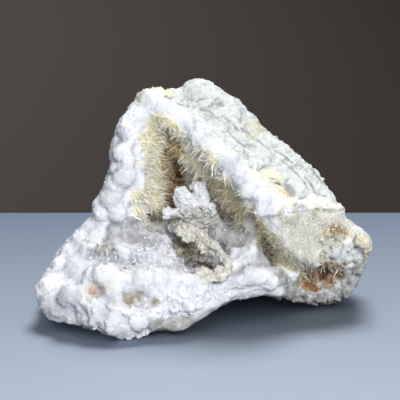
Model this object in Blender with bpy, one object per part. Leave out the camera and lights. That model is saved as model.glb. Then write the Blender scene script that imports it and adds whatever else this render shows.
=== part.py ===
"""A calcite geode: half of a broken vug, hollow towards the viewer, resting on three broken feet.

The stone is drawn in face coordinates, in millimetres: across to the right, up along the face, and
deep into the stone. The face leans back by LEAN, so that the hollow looks a little upwards.
Everything else here is in metres, with +Z up and the origin under the middle of the stone.
"""

import math

import bmesh
import bpy
import numpy as np
from mathutils import Matrix, Vector

MM = 0.001
LEAN = math.radians(18.0)
FACE_HEIGHT = 63.0
GAP = 0.3 * MM
# Sets the stone over the origin: how far it moves left and forward, in millimetres.
TO_LEFT = 1.8
TO_FRONT = 7.0

# The broken outline of the stone: across, up, and how deep the edge lies.
OUTLINE = (
    (-3, 67.5, 14), (3.5, 66, 16), (8.5, 62, 18), (19, 55, 19), (28.5, 47, 20),
    (35, 38, 20), (42, 33.5, 20), (48, 30.5, 20), (54.5, 22.5, 20), (62.5, 17, 20),
    (68.5, 7.5, 19), (76, -0.5, 17), (77.5, -6, 15), (77.5, -11.5, 13), (85, -14.5, 12),
    (91.5, -19.5, 11), (95, -25, 10), (91, -32, 10), (88.5, -39, 10), (86, -47.5, 13),
    (76.5, -56.5, 20), (68.5, -59.5, 22), (57.5, -57.5, 18), (48, -54.5, 8), (40, -52, -2),
    (29.5, -52.5, -8), (20, -54, -12), (11, -56, -15), (3.5, -60.5, -18), (-3, -65, -20),
    (-10, -70, -21), (-20.5, -70, -22), (-29, -70.5, -22), (-39.5, -74, -22),
    (-53.5, -72.5, -22), (-60, -69, -22), (-76.5, -66.5, -17), (-84, -64.5, -14),
    (-91.5, -52.5, -8), (-86.5, -38.5, 0), (-79.5, -27.5, 5), (-68.5, -16, 7),
    (-62, -8.5, 6), (-60, 0, 4), (-54.5, 10, 3), (-51.5, 18, 2), (-50, 30.5, 2),
    (-47, 43, 2), (-39.5, 52.5, 4), (-38, 57, 6), (-33, 61.5, 8), (-26, 61, 9),
    (-12.5, 61, 11), (-7.5, 65.5, 13),
)
MIDDLE = (0.0, -14.0, 5.0)
BACK_DEPTH = 50.0

# Ridges and hollows of the face: across, up and depth along each one.
RELIEF = {
    "left ridge": ((-35, 55, -8), (-39, 43, -16), (-42.5, 28, -21), (-45.5, 12, -22), (-50, -2, -16)),
    "left ridge back": ((-46, 40, -8), (-50, 20, -12), (-55, 4, -8)),
    "left ridge foot": ((-54.5, -12, -7), (-58, -22, -8)),
    "top bridge": ((-29, 52.5, -11), (-20.5, 47.5, -14), (-11.5, 42, -16)),
    "saddle": ((-18, 57, 0), (-12, 55, 0)),
    "peak": ((-3.5, 60, -5), (6.5, 52.5, -7)),
    "right crust": (
        (-4, 36, -20), (5, 27, -23), (15, 18, -25), (24, 8, -27), (32, -2, -27), (43.5, -8, -22),
    ),
    "slab": ((9, 46, -9), (28, 28, -11), (44.5, 13, -11), (59, 3, -9)),
    "slab edge": ((25.5, 43, 2), (45, 25, 4), (63, 7.5, 4)),
    "lower white ridge": ((37, -13, -18), (44, -21, -20), (52, -31, -19)),
    "druse block": ((52, -13, -11), (64, -19.5, -12), (61, -30.5, -15), (75, -27, -13)),
    "druse pocket": ((66, -12, -2), (74, -14, 0)),
    "druse overhang": ((60, -34.5, -16), (77, -34, -10)),
    "right knob": ((86, -21, 2), (87, -24, 2)),
    "rust pocket": ((58, -42, 7), (71, -41, 8)),
    "right foot": ((49, -50.5, 3), (60, -53, 3), (71.5, -52, 5)),
    "needle band": ((24.5, -11, 3), (32.5, -20.5, 5), (42, -32.5, 3), (50, -41, 1)),
    "slit": ((33.5, -24.5, 16), (36.5, -33, 14)),
    "right rim crust": ((38, -43.5, -21), (26, -41.5, -23), (16, -44, -23)),
    "right recess wall": ((25.5, -29, -8), (18, -33, -8)),
    "right recess": ((12.5, -19, 15), (21.5, -21.5, 12)),
    "vug top": ((-22, 37, 2), (-19, 29, 12)),
    "vug deep": ((-18, 22.5, 22), (-16.5, 10, 29), (-15.5, -3, 31)),
    "vug deep right": ((-4, 6, 25), (5, -4, 23), (15, -10, 20)),
    "left needle wall high": ((-30, 39, -6), (-33.5, 24, -9), (-36.5, 8, -9), (-39, -6, -4)),
    "left needle wall low": ((-25, 29, 5), (-27, 14, 9), (-28, -1, 10)),
    "right needle wall high": ((-13, 31, -2), (-3.5, 22, -2), (9, 11, -3), (22, -3, -3)),
    "right needle wall low": ((-10, 17, 14), (0, 9, 14), (14, -5, 13)),
    "vug back": ((-3, -15, 26), (-24.5, -13, 24)),
    "hole": ((-10, -31.5, 26), (2, -32.5, 29)),
    "floor": ((-50.5, -17.5, 3), (-38, -17.5, 7), (-25, -22, 7)),
    "floor front": ((-46, -27.5, -1), (-32, -30.5, -3), (-18.5, -35, -3)),
    "crevice": ((-56, -29, 4), (-48, -33, 2), (-40, -34, 0)),
    "front rim": ((-41, -41, -27), (-24, -41.5, -29), (-5, -42, -28)),
    "front rim face": ((-23, -52.5, -31), (-8.5, -53.5, -30), (-1, -49, -27)),
    "rim underside": ((-20.5, -65.5, -27), (-7, -63, -26)),
    "rim right low": ((6, -51, -22), (19.5, -49.5, -20)),
    "platform": ((-67.5, -22, -4), (-77, -34, -8), (-63, -33.5, -12), (-80, -46, -18)),
    "platform front": ((-81.5, -56.5, -22), (-74, -60, -25)),
    "foot shoulder": ((-62, -41.5, -27), (-49, -40.5, -31)),
    "foot": ((-63, -54, -34), (-50.5, -60.5, -39), (-38, -63.5, -39), (-28.5, -63.5, -34)),
    "foot stain pocket": ((-61, -49.5, -25), (-57, -49, -25)),
    "foot right pocket": ((-40, -53.5, -24), (-36, -53, -24)),
    "foot crest": ((-50, -50, -36), (-46, -56, -38)),
    "arch lip": ((31.5, -49, -14), (42, -48, -6)),
}
RELIEF_SHARPNESS = 5.0
# How far some of them reach, beside the usual 1.
REACH = {"hole": 1.6, "vug deep": 1.3, "slit": 0.8, "crevice": 0.8, "foot": 1.3, "rust pocket": 1.3}

# Corners of the rear of the stone, in millimetres: across, back and up.
REAR_CORNERS = (
    (-50, 12, -4), (-62, 30, 3), (-48, 50, -4), (-10, 56, -4), (34, 50, -4), (50, 40, 4),
    (14, 22, -4), (-44, 52, 34), (0, 60, 42), (40, 50, 34), (-20, 30, 60), (20, 30, 60),
)

SHELL_VOXEL = 1.5 * MM
SHELL_TRIANGLES = 4900
# Lumps of the rock and of the coral: their width, and how far they stand out.
ROCK_LUMPS = ((14 * MM, 5 * MM), (5 * MM, 2 * MM))
CORAL_LUMPS = (2.5 * MM, 1.4 * MM)

# The coral-like growth in the hollow: across, up, depth and radius of the balls along each limb.
CORAL_TRUNK = (
    (-7, -4.5, 7, 5.5), (-2, -4.5, 8, 5), (2.5, -6, 9, 4), (-11, -5.5, 8, 4.5), (-7.5, -7, 15, 6),
    (-8, -9, 22, 6.5), (-6, -14, 8, 5.5), (-12, -14.5, 12, 5), (-1, -13, 9, 5), (4.5, -12, 12, 3.6),
    (-7, -14, 18, 6), (-16, -15, 16, 4), (-8, -12, 27, 7.5),
)
CORAL_LOBE_LEFT = ((-11.8, 2, 4, 4.6), (-12.8, 4.6, 3, 3.2), (-10.5, -1.8, 5, 4.0))
CORAL_LOBE_RIGHT = ((-2.4, 6.4, 4, 3.8), (-4.8, 7.4, 5, 2.9), (-1.2, 2.6, 5, 4.0), (-2.0, -1.6, 6, 4.2))
CORAL_SIDE_KNOB = ((-13.6, -7.4, 6, 2.8), (-16.6, -7.2, 5, 2.8), (-20.2, -6.6, 4, 2.8))
CORAL_STRUT = (
    (-17, -19, 4, 2.6), (-10.5, -19.5, 0, 2.6), (-3, -22, -4, 2.7), (3.5, -27, -9, 2.6),
    (8.2, -34.5, -15, 2.5), (10, -41, -20, 2.6), (8.5, -47, -24, 3.0),
)
STRUT_KNOB = ((-1.5, -25.5, -4, 2.0), (-6, -26.5, -3, 1.8))
LIMB_VOXEL = 0.7 * MM
TRUNK_VOXEL = 0.9 * MM

# Where needles line the walls: corners of each zone, across and up the face.
NEEDLE_ZONES = {
    "needle_spray_left": (
        (-30, 44), (-21, 44), (-17, 39), (-19.5, 22), (-21, 5), (-22, -8), (-29, -14),
        (-37, -8), (-39, 8), (-38, 22), (-35, 35),
    ),
    "needle_spray_right": ((-14, 35), (-5, 30), (8, 20), (26, 1), (21, -9), (9, 1), (-2, 9), (-11, 15)),
    "needle_spray_band": ((27.5, -1), (35, -8), (40, -18), (53, -38), (45, -44), (32, -30), (22, -11)),
    "needle_druse_lower": ((43, -9), (60, -8), (77, -10), (80, -22), (71, -34), (56, -37), (50, -27)),
}
NEEDLE_LENGTH = 5.5 * MM
DRUSE_LENGTH = 4.0 * MM
LINING_TRIANGLES = 500
ZONE_FRONT = -45.0
ZONE_BACK = 45.0

# Crystals that stand apart: across, up and depth, then width, height and thickness, all in
# millimetres, then turn and tilt in degrees.
HONEY_PLATE = ((34, 14.5, -14, 13, 5.5, 4, -22, 10), (38, 13, -13, 7, 4.5, 4, 10, -12))
AMBER_CRYSTAL = ((42.5, 6.5, -13, 8, 5, 6, -48, 12), (45.5, 3, -12, 5, 4, 6, -30, -20))
AMBER_END_KNOB = ((87.5, -22.5, -1, 8, 6, 8, 20, 10), (89.5, -26, 1, 5, 4.5, 6, -30, 25))
TOP_CRYSTALS = (
    (-23, 59.5, 1, 6, 4.5, 5, 35, 10), (-19, 58.5, 2, 5, 4, 5, -20, 15), (-27, 60, 0, 4, 4, 4, 5, 30),
)
CRYSTAL_BEVEL = 0.22

# Finish of each piece: red, green, blue and roughness.
FINISHES = {
    "rock_shell": (0.80, 0.80, 0.81, 0.85),
    "needles": (0.62, 0.55, 0.32, 0.35),
    "coral": (0.74, 0.73, 0.72, 0.55),
    "honey": (0.72, 0.60, 0.36, 0.25),
    "amber": (0.55, 0.30, 0.08, 0.20),
}


def face_point(across, up, deep):
    """A point given in face coordinates, in millimetres, as a point of the stone in metres."""
    x = across - TO_LEFT
    y = deep * math.cos(LEAN) + up * math.sin(LEAN) - TO_FRONT
    z = FACE_HEIGHT - deep * math.sin(LEAN) + up * math.cos(LEAN)
    return Vector((x, y, z)) * MM


def relief_depth(across, up):
    """How deep the face lies at each point: a blend of the ridges and hollows that pass near it."""
    total = np.zeros_like(across)
    weight = np.zeros_like(across)
    for name, line in RELIEF.items():
        reach = REACH.get(name, 1.0)
        for (a0, u0, d0), (a1, u1, d1) in zip(line, line[1:]):
            run, rise = a1 - a0, u1 - u0
            t = ((across - a0) * run + (up - u0) * rise) / (run * run + rise * rise)
            t = np.clip(t, 0.0, 1.0)
            distance = np.hypot(across - a0 - t * run, up - u0 - t * rise)
            w = (reach / (distance + 1.0)) ** RELIEF_SHARPNESS
            total += w * (d0 + t * (d1 - d0))
            weight += w
    return total / weight


def remove_everything():
    for obj in list(bpy.data.objects):
        bpy.data.objects.remove(obj, do_unlink=True)


def new_object(name, mesh):
    obj = bpy.data.objects.new(name, mesh)
    bpy.context.scene.collection.objects.link(obj)
    return obj


def applied(obj):
    """Replaces the object's mesh by what its modifiers make of it."""
    bpy.context.view_layer.update()
    graph = bpy.context.evaluated_depsgraph_get()
    mesh = bpy.data.meshes.new_from_object(obj.evaluated_get(graph))
    obj.modifiers.clear()
    obj.data = mesh
    return obj


def carved_block():
    """A ball pulled out to the outline, with the relief pressed into its front."""
    mesh = bpy.data.meshes.new("block")
    bm = bmesh.new()
    bmesh.ops.create_icosphere(bm, subdivisions=7, radius=1.0)
    ball = np.array([v.co for v in bm.verts])
    outline = np.array(OUTLINE, float)
    middle = np.array(MIDDLE)
    spokes = outline - middle
    angles = np.arctan2(spokes[:, 1], spokes[:, 0])
    order = np.argsort(angles)
    around = np.arctan2(ball[:, 2], ball[:, 0])
    reach = np.hypot(ball[:, 0], ball[:, 2])
    edge = np.stack(
        [np.interp(around, angles[order], spokes[order, i], period=2 * math.pi) for i in range(3)], axis=1
    )
    points = middle + edge * reach[:, None]
    roundness = np.sqrt(np.abs(ball[:, 1]))
    front = ball[:, 1] < 0
    depth = relief_depth(points[:, 0], points[:, 1])
    rim_depth = middle[2] + edge[:, 2]
    points[front, 2] = (rim_depth + (depth - rim_depth) * roundness)[front]
    points[~front, 2] += (BACK_DEPTH * roundness)[~front]
    for vertex, point in zip(bm.verts, points):
        vertex.co = face_point(*point)
    bm.to_mesh(mesh)
    bm.free()
    return new_object("block", mesh)


def rear_block():
    """The broken rear of the stone: flat faces between a few corners."""
    mesh = bpy.data.meshes.new("rear")
    bm = bmesh.new()
    for across, back, up in REAR_CORNERS:
        bm.verts.new(Vector((across - TO_LEFT, back - TO_FRONT, up)) * MM)
    hull = bmesh.ops.convex_hull(bm, input=bm.verts)
    inner = [g for g in hull["geom_interior"] if isinstance(g, bmesh.types.BMVert)]
    bmesh.ops.delete(bm, geom=inner, context="VERTS")
    bmesh.ops.recalc_face_normals(bm, faces=bm.faces)
    bm.to_mesh(mesh)
    bm.free()
    return new_object("rear", mesh)


def joined(name, objects):
    """One object that holds the faces of several."""
    bm = bmesh.new()
    for obj in objects:
        bm.from_mesh(obj.data)
        bpy.data.objects.remove(obj)
    mesh = bpy.data.meshes.new(name)
    bm.to_mesh(mesh)
    bm.free()
    return new_object(name, mesh)


def fused(obj, voxel):
    """Makes overlapping shapes one closed skin."""
    remesh = obj.modifiers.new("fuse", "REMESH")
    remesh.mode = "VOXEL"
    remesh.voxel_size = voxel
    return applied(obj)


def roughened(obj, width, strength):
    """Pushes the skin in and out into soft lumps."""
    texture = bpy.data.textures.new(f"{obj.name}_lumps", "CLOUDS")
    texture.noise_scale = width
    displace = obj.modifiers.new("rough", "DISPLACE")
    displace.texture = texture
    displace.texture_coords = "LOCAL"
    displace.strength = strength
    displace.mid_level = 0.5
    return applied(obj)


def thinned(obj, triangles):
    """Merges the smallest faces until about that many triangles are left."""
    obj.data.calc_loop_triangles()
    decimate = obj.modifiers.new("thin", "DECIMATE")
    decimate.ratio = triangles / len(obj.data.loop_triangles)
    decimate.use_collapse_triangulate = True
    return applied(obj)


def cut_flat(obj):
    """Cuts the stone off level with what it stands on, which leaves the flat feet."""
    bm = bmesh.new()
    bm.from_mesh(obj.data)
    geometry = bm.verts[:] + bm.edges[:] + bm.faces[:]
    cut = bmesh.ops.bisect_plane(
        bm, geom=geometry, dist=0.01 * MM, plane_co=(0, 0, 0), plane_no=(0, 0, -1), clear_outer=True
    )
    edges = [g for g in cut["geom_cut"] if isinstance(g, bmesh.types.BMEdge)]
    bmesh.ops.holes_fill(bm, edges=edges)
    bmesh.ops.recalc_face_normals(bm, faces=bm.faces)
    bm.to_mesh(obj.data)
    bm.free()
    return obj


def build_shell():
    shell = joined("rock_shell", [carved_block(), rear_block()])
    fused(shell, SHELL_VOXEL)
    for width, strength in ROCK_LUMPS:
        roughened(shell, width, strength)
    thinned(shell, SHELL_TRIANGLES)
    return keep_largest(cut_flat(shell))


def grown(obj, distance):
    """A copy whose skin lies further out."""
    copy = new_object(f"{obj.name}_grown", obj.data.copy())
    displace = copy.modifiers.new("grow", "DISPLACE")
    displace.strength = distance
    displace.mid_level = 0.0
    return applied(copy)


def combined(obj, other, operation):
    """Boolean of two closed shapes; the other one is used up."""
    boolean = obj.modifiers.new("cut", "BOOLEAN")
    boolean.operation = operation
    boolean.solver = "EXACT"
    boolean.use_self = True
    boolean.object = other
    applied(obj)
    bpy.data.objects.remove(other)
    return obj


def keep_largest(obj):
    """Drops the crumbs that a cut leaves beside the piece itself."""
    bm = bmesh.new()
    bm.from_mesh(obj.data)
    bmesh.ops.remove_doubles(bm, verts=bm.verts, dist=0.02 * MM)
    bmesh.ops.dissolve_degenerate(bm, edges=bm.edges, dist=0.02 * MM)
    left = set(bm.faces)
    bodies = []
    while left:
        body = {left.pop()}
        fringe = list(body)
        while fringe:
            face = fringe.pop()
            for edge in face.edges:
                for neighbour in edge.link_faces:
                    if neighbour in left:
                        left.discard(neighbour)
                        body.add(neighbour)
                        fringe.append(neighbour)
        bodies.append(body)
    bodies.sort(key=lambda faces: sum(face.calc_area() for face in faces))
    crumbs = [face for body in bodies[:-1] for face in body]
    bmesh.ops.delete(bm, geom=crumbs, context="FACES")
    bmesh.ops.triangulate(bm, faces=bm.faces)
    bm.to_mesh(obj.data)
    bm.free()
    return obj


def fitted(obj, *neighbours):
    """Cuts away what would touch the neighbours."""
    for neighbour in neighbours:
        combined(obj, grown(neighbour, GAP), "DIFFERENCE")
    return keep_largest(obj)


def lumpy(name, balls, voxel, triangles):
    """Balls grown into one another, from rows of across, up, depth and radius."""
    bm = bmesh.new()
    for across, up, deep, radius in balls:
        ball = bmesh.ops.create_icosphere(bm, subdivisions=3, radius=radius * MM)
        bmesh.ops.translate(bm, verts=ball["verts"], vec=face_point(across, up, deep))
    mesh = bpy.data.meshes.new(name)
    bm.to_mesh(mesh)
    bm.free()
    lump = fused(new_object(name, mesh), voxel)
    roughened(lump, *CORAL_LUMPS)
    return thinned(lump, triangles)


def between(balls, steps):
    """The same balls with others evenly set between each two."""
    rows = [balls[0]]
    for first, second in zip(balls, balls[1:]):
        for step in range(1, steps + 1):
            rows.append(tuple(p + (q - p) * step / steps for p, q in zip(first, second)))
    return rows


def zone_prism(corners):
    """Everything in front of and behind a patch of the face."""
    bm = bmesh.new()
    near = [bm.verts.new(face_point(across, up, ZONE_FRONT)) for across, up in corners]
    bm.faces.new(near)
    walls = bmesh.ops.extrude_face_region(bm, geom=bm.faces[:])
    moved = [g for g in walls["geom"] if isinstance(g, bmesh.types.BMVert)]
    bmesh.ops.translate(bm, verts=moved, vec=face_point(0, 0, ZONE_BACK) - face_point(0, 0, ZONE_FRONT))
    bmesh.ops.recalc_face_normals(bm, faces=bm.faces)
    mesh = bpy.data.meshes.new("zone")
    bm.to_mesh(mesh)
    bm.free()
    return new_object("zone", mesh)


def build_lining(name, shell, neighbours, length, triangles):
    """The space that needles fill, from a wall of the hollow out to their tips."""
    tips = grown(shell, length)
    tips.name = name
    combined(tips, zone_prism(NEEDLE_ZONES[name]), "INTERSECT")
    fused(tips, SHELL_VOXEL)
    thinned(tips, triangles)
    return fitted(tips, shell, *neighbours)


def build_crystals(name, rows, shell):
    """Blocks with bevelled edges, joined where they cross and seated on the stone."""
    whole = None
    for across, up, deep, width, height, thickness, turn, tilt in rows:
        bm = bmesh.new()
        bmesh.ops.create_cube(bm, size=1.0)
        bmesh.ops.scale(bm, verts=bm.verts, vec=Vector((width, thickness, height)) * MM)
        offset = CRYSTAL_BEVEL * height * MM
        bmesh.ops.bevel(bm, geom=bm.edges[:], offset=offset, segments=1, affect="EDGES")
        turned = Matrix.Rotation(math.radians(turn), 4, "Y") @ Matrix.Rotation(math.radians(tilt), 4, "X")
        placed = Matrix.Translation(face_point(across, up, deep)) @ turned
        bmesh.ops.transform(bm, matrix=placed, verts=bm.verts)
        mesh = bpy.data.meshes.new(name)
        bm.to_mesh(mesh)
        bm.free()
        block = new_object(name, mesh)
        whole = combined(whole, block, "UNION") if whole else block
    return fitted(whole, shell)


def finish(obj, finish_name):
    """Gives a piece its own material."""
    red, green, blue, roughness = FINISHES[finish_name]
    material = bpy.data.materials.new(obj.name)
    material.use_nodes = True
    shader = material.node_tree.nodes["Principled BSDF"]
    shader.inputs["Base Color"].default_value = (red, green, blue, 1.0)
    shader.inputs["Roughness"].default_value = roughness
    shader.inputs["Metallic"].default_value = 0.0
    obj.data.materials.clear()
    obj.data.materials.append(material)
    return obj


def build_coral(shell):
    """The growth, limb by limb: each is cut clear of those before it."""
    strut = lumpy("coral_strut", between(CORAL_STRUT, 4) + list(STRUT_KNOB), LIMB_VOXEL, 500)
    fitted(strut, shell)
    trunk = lumpy("coral_trunk", CORAL_TRUNK, TRUNK_VOXEL, 600)
    fitted(trunk, shell, strut)
    left_lobe = lumpy("coral_lobe_left", between(CORAL_LOBE_LEFT, 2), LIMB_VOXEL, 260)
    fitted(left_lobe, trunk)
    right_lobe = lumpy("coral_lobe_right", between(CORAL_LOBE_RIGHT, 2), LIMB_VOXEL, 260)
    fitted(right_lobe, trunk, left_lobe)
    side_knob = lumpy("coral_side_knob", between(CORAL_SIDE_KNOB, 2), LIMB_VOXEL, 220)
    fitted(side_knob, trunk, left_lobe)
    return [strut, trunk, left_lobe, right_lobe, side_knob]


def main():
    remove_everything()
    shell = build_shell()
    coral = build_coral(shell)
    sprays = []
    for name in NEEDLE_ZONES:
        length = DRUSE_LENGTH if name == "needle_druse_lower" else NEEDLE_LENGTH
        sprays.append(build_lining(name, shell, coral + sprays, length, LINING_TRIANGLES))

    finish(shell, "rock_shell")
    for piece in coral:
        finish(piece, "coral")
    for piece in sprays:
        finish(piece, "needles")
    finish(build_crystals("honey_plate", HONEY_PLATE, shell), "honey")
    finish(build_crystals("amber_crystal", AMBER_CRYSTAL, shell), "amber")
    finish(build_crystals("amber_end_knob", AMBER_END_KNOB, shell), "amber")
    finish(build_crystals("top_yellow_crystals", TOP_CRYSTALS, shell), "honey")


main()
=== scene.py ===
"""The looks of a broken calcite geode: white crust, host rock, needle druses, a coral-like growth and crystals.

The stone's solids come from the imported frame. Every piece here is built on them, at the origin, in metres.
Places on the stone are given as the pixels of the 400 x 400 reference view, or in face millimetres.
"""

import logging
import math
from dataclasses import dataclass
from enum import Enum
from typing import Any

import bmesh
import bpy
import numpy as np
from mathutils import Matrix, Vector, noise
from mathutils.bvhtree import BVHTree


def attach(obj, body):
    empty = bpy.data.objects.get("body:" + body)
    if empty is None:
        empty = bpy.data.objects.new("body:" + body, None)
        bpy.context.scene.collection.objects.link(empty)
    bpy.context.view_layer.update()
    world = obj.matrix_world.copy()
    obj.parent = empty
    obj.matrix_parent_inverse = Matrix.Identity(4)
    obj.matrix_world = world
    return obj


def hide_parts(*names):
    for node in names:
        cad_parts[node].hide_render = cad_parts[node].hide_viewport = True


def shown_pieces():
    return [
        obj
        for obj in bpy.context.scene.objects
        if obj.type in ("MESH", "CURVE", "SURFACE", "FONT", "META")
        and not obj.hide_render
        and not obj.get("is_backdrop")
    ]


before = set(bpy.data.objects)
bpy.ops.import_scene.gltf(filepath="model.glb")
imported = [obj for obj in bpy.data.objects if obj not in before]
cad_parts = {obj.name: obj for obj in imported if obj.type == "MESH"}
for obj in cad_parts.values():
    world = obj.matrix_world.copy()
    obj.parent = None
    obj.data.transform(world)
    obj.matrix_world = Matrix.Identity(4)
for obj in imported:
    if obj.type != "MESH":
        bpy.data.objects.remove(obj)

LOG = logging.getLogger("geode")
MM = 0.001
SAME_CORNER = 0.01 * MM
BALL_FINENESS = 3
BODY = "root"
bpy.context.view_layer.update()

Socket = bpy.types.NodeSocket
Colour = tuple[float, float, float, float]


def srgb(red: int, green: int, blue: int) -> Colour:
    """Turns a display colour into the linear colour that shaders take.

    Args:
        red, green, blue: The colour as shown, from 0 to 255.

    Returns:
        Linear red, green, blue and an alpha of 1.
    """
    shown = [channel / 255 for channel in (red, green, blue)]
    linear = [c / 12.92 if c <= 0.04045 else ((c + 0.055) / 1.055) ** 2.4 for c in shown]
    return (*linear, 1.0)


def smoothstep(low: float, high: float, value: np.ndarray) -> np.ndarray:
    """Returns 0 below low, 1 above high and a soft step between."""
    t = np.clip((value - low) / (high - low), 0.0, 1.0)
    return t * t * (3 - 2 * t)


@dataclass(frozen=True)
class View:
    """The reference camera, and the way from its pixels to places on the stone."""

    lean: float = math.radians(18.0)
    height: float = 63 * MM
    distance: float = 1.0
    pixel: float = 0.55 * MM
    centre: tuple[float, float] = (203.5, 200.0)
    shift: tuple[float, float] = (1.8 * MM, 7.0 * MM)
    half_frame: float = 200.0
    sensor: float = 36.0

    def depth(self, points: np.ndarray) -> np.ndarray:
        """Returns how deep points lie behind the middle plane of the face, in metres."""
        back, up = points[:, 1] + self.shift[1], points[:, 2] - self.height
        return back * math.cos(self.lean) - up * math.sin(self.lean)

    def pixels(self, points: np.ndarray) -> np.ndarray:
        """Projects points into the reference view.

        Args:
            points: Places in metres, one a row.

        Returns:
            The pixel across and down of each.
        """
        across = points[:, 0] + self.shift[0]
        back, rise = points[:, 1] + self.shift[1], points[:, 2] - self.height
        up = back * math.sin(self.lean) + rise * math.cos(self.lean)
        scale = self.pixel * (self.distance + self.depth(points)) / self.distance
        return np.stack([self.centre[0] + across / scale, self.centre[1] - up / scale], axis=1)

    def depth_in(self, w: "ShaderWiring") -> Socket:
        """Wires the same depth in a material.

        Args:
            w: The material's wiring.

        Returns:
            The depth in metres.
        """
        axis = (0.0, math.cos(self.lean), -math.sin(self.lean))
        offset = self.shift[1] * math.cos(self.lean) + self.height * math.sin(self.lean)
        return w.math("ADD", w.vector("DOT_PRODUCT", w.place, axis), offset)

    def place(self, across: float, down: float, deep: float) -> Vector:
        """Finds the place seen at a pixel.

        Args:
            across, down: The pixel.
            deep: How far behind the middle plane it lies, in millimetres.

        Returns:
            The place in metres.
        """
        scale = self.pixel * (self.distance + deep * MM) / self.distance
        a, b, d = (across - self.centre[0]) * scale, (self.centre[1] - down) * scale, deep * MM
        y = d * math.cos(self.lean) + b * math.sin(self.lean) - self.shift[1]
        z = self.height - d * math.sin(self.lean) + b * math.cos(self.lean)
        return Vector((a - self.shift[0], y, z))

    def camera_place(self) -> Vector:
        """Returns where the reference camera stands."""
        return self._target() + self._back() * self.distance

    def _back(self) -> Vector:
        """The direction from the stone to the camera."""
        return Vector((0, -math.cos(self.lean), math.sin(self.lean)))

    def _target(self) -> Vector:
        """The place in the middle of the view."""
        middle = self.half_frame - self.centre[0]
        return Vector((middle * self.pixel - self.shift[0], -self.shift[1], self.height))

    def add_camera(self) -> None:
        """Makes the camera that sees the stone as the reference does."""
        data = bpy.data.cameras.new("camera")
        data.sensor_width = self.sensor
        data.lens = data.sensor_width / 2 / (self.half_frame * self.pixel / self.distance)
        camera = bpy.data.objects.new("camera", data)
        bpy.context.scene.collection.objects.link(camera)
        camera.location = self.camera_place()
        camera.rotation_mode = "QUATERNION"
        camera.rotation_quaternion = (-self._back()).to_track_quat("-Z", "Y")
        bpy.context.scene.camera = camera


VIEW = View()


class Wiring:
    """Short forms for building a node tree, of a material or of geometry."""

    def __init__(self, tree: bpy.types.NodeTree) -> None:
        """Takes the tree to build in."""
        self.tree = tree

    def node(self, kind: str, plugs: dict | None = None, **settings: Any) -> bpy.types.Node:
        """Adds a node.

        Args:
            kind: Blender's name for the type of node.
            plugs: What each input takes, by its name or its number among those in use.
            settings: The node's own options.

        Returns:
            The node.
        """
        made = self.tree.nodes.new(kind)
        for name, value in settings.items():
            setattr(made, name, value)
        for key, value in (plugs or {}).items():
            self.plug(made, key, value)
        return made

    def plug(self, node: bpy.types.Node, key: str | int, value: Any) -> None:
        """Sets or links one input of a node.

        Args:
            node: The node.
            key: The input's name, or its number among those in use.
            value: A plain value, a socket, or a node whose first output is taken.
        """
        sockets = [s for s in node.inputs if s.enabled]
        socket = sockets[key] if isinstance(key, int) else next(s for s in sockets if s.name == key)
        if isinstance(value, bpy.types.Node):
            value = self.out(value)
        if isinstance(value, Socket):
            self.tree.links.new(value, socket)
        else:
            socket.default_value = value

    def out(self, node: bpy.types.Node, name: str | None = None) -> Socket:
        """Returns the first output in use, or the one of that name."""
        return next(s for s in node.outputs if s.enabled and name in (None, s.name))

    def math(self, operation: str, *values: Any, clamp: bool = False) -> Socket:
        """Returns a sum of numbers, a product or the like."""
        plugs = dict(enumerate(values))
        return self.out(self.node("ShaderNodeMath", plugs, operation=operation, use_clamp=clamp))

    def vector(self, operation: str, a: Any, b: Any) -> Socket:
        """Returns a sum, a product, a dot product or the like of two vectors."""
        return self.out(self.node("ShaderNodeVectorMath", {0: a, 1: b}, operation=operation))

    def scaled(self, vector: Any, factor: Any) -> Socket:
        """Returns a vector times a number."""
        return self.out(self.node("ShaderNodeVectorMath", {0: vector, "Scale": factor}, operation="SCALE"))

    def turned(self, vector: Any, angle: Any) -> bpy.types.Node:
        """Turns a vector in the plane of the face."""
        return self.node("ShaderNodeVectorRotate", {"Vector": vector, "Angle": angle}, rotation_type="Y_AXIS")

    def range(self, value: Any, low: float, high: float, to_low: float = 0.0, to_high: float = 1.0) -> Socket:
        """Maps a number from one range to another, clamped."""
        plugs = {"Value": value, "From Min": low, "From Max": high, "To Min": to_low, "To Max": to_high}
        return self.out(self.node("ShaderNodeMapRange", plugs))

    def mix(self, factor: Any, a: Any, b: Any, blend: str = "MIX") -> Socket:
        """Mixes two colours.

        Args:
            factor: The share of the second colour.
            a, b: The colours.
            blend: Blender's name for the way of mixing.

        Returns:
            The mixed colour.
        """
        made = self.node("ShaderNodeMix", data_type="RGBA", blend_type=blend)
        self.plug(made, "Factor", factor)
        self.plug(made, "A", a)
        self.plug(made, "B", b)
        return self.out(made)


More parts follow.
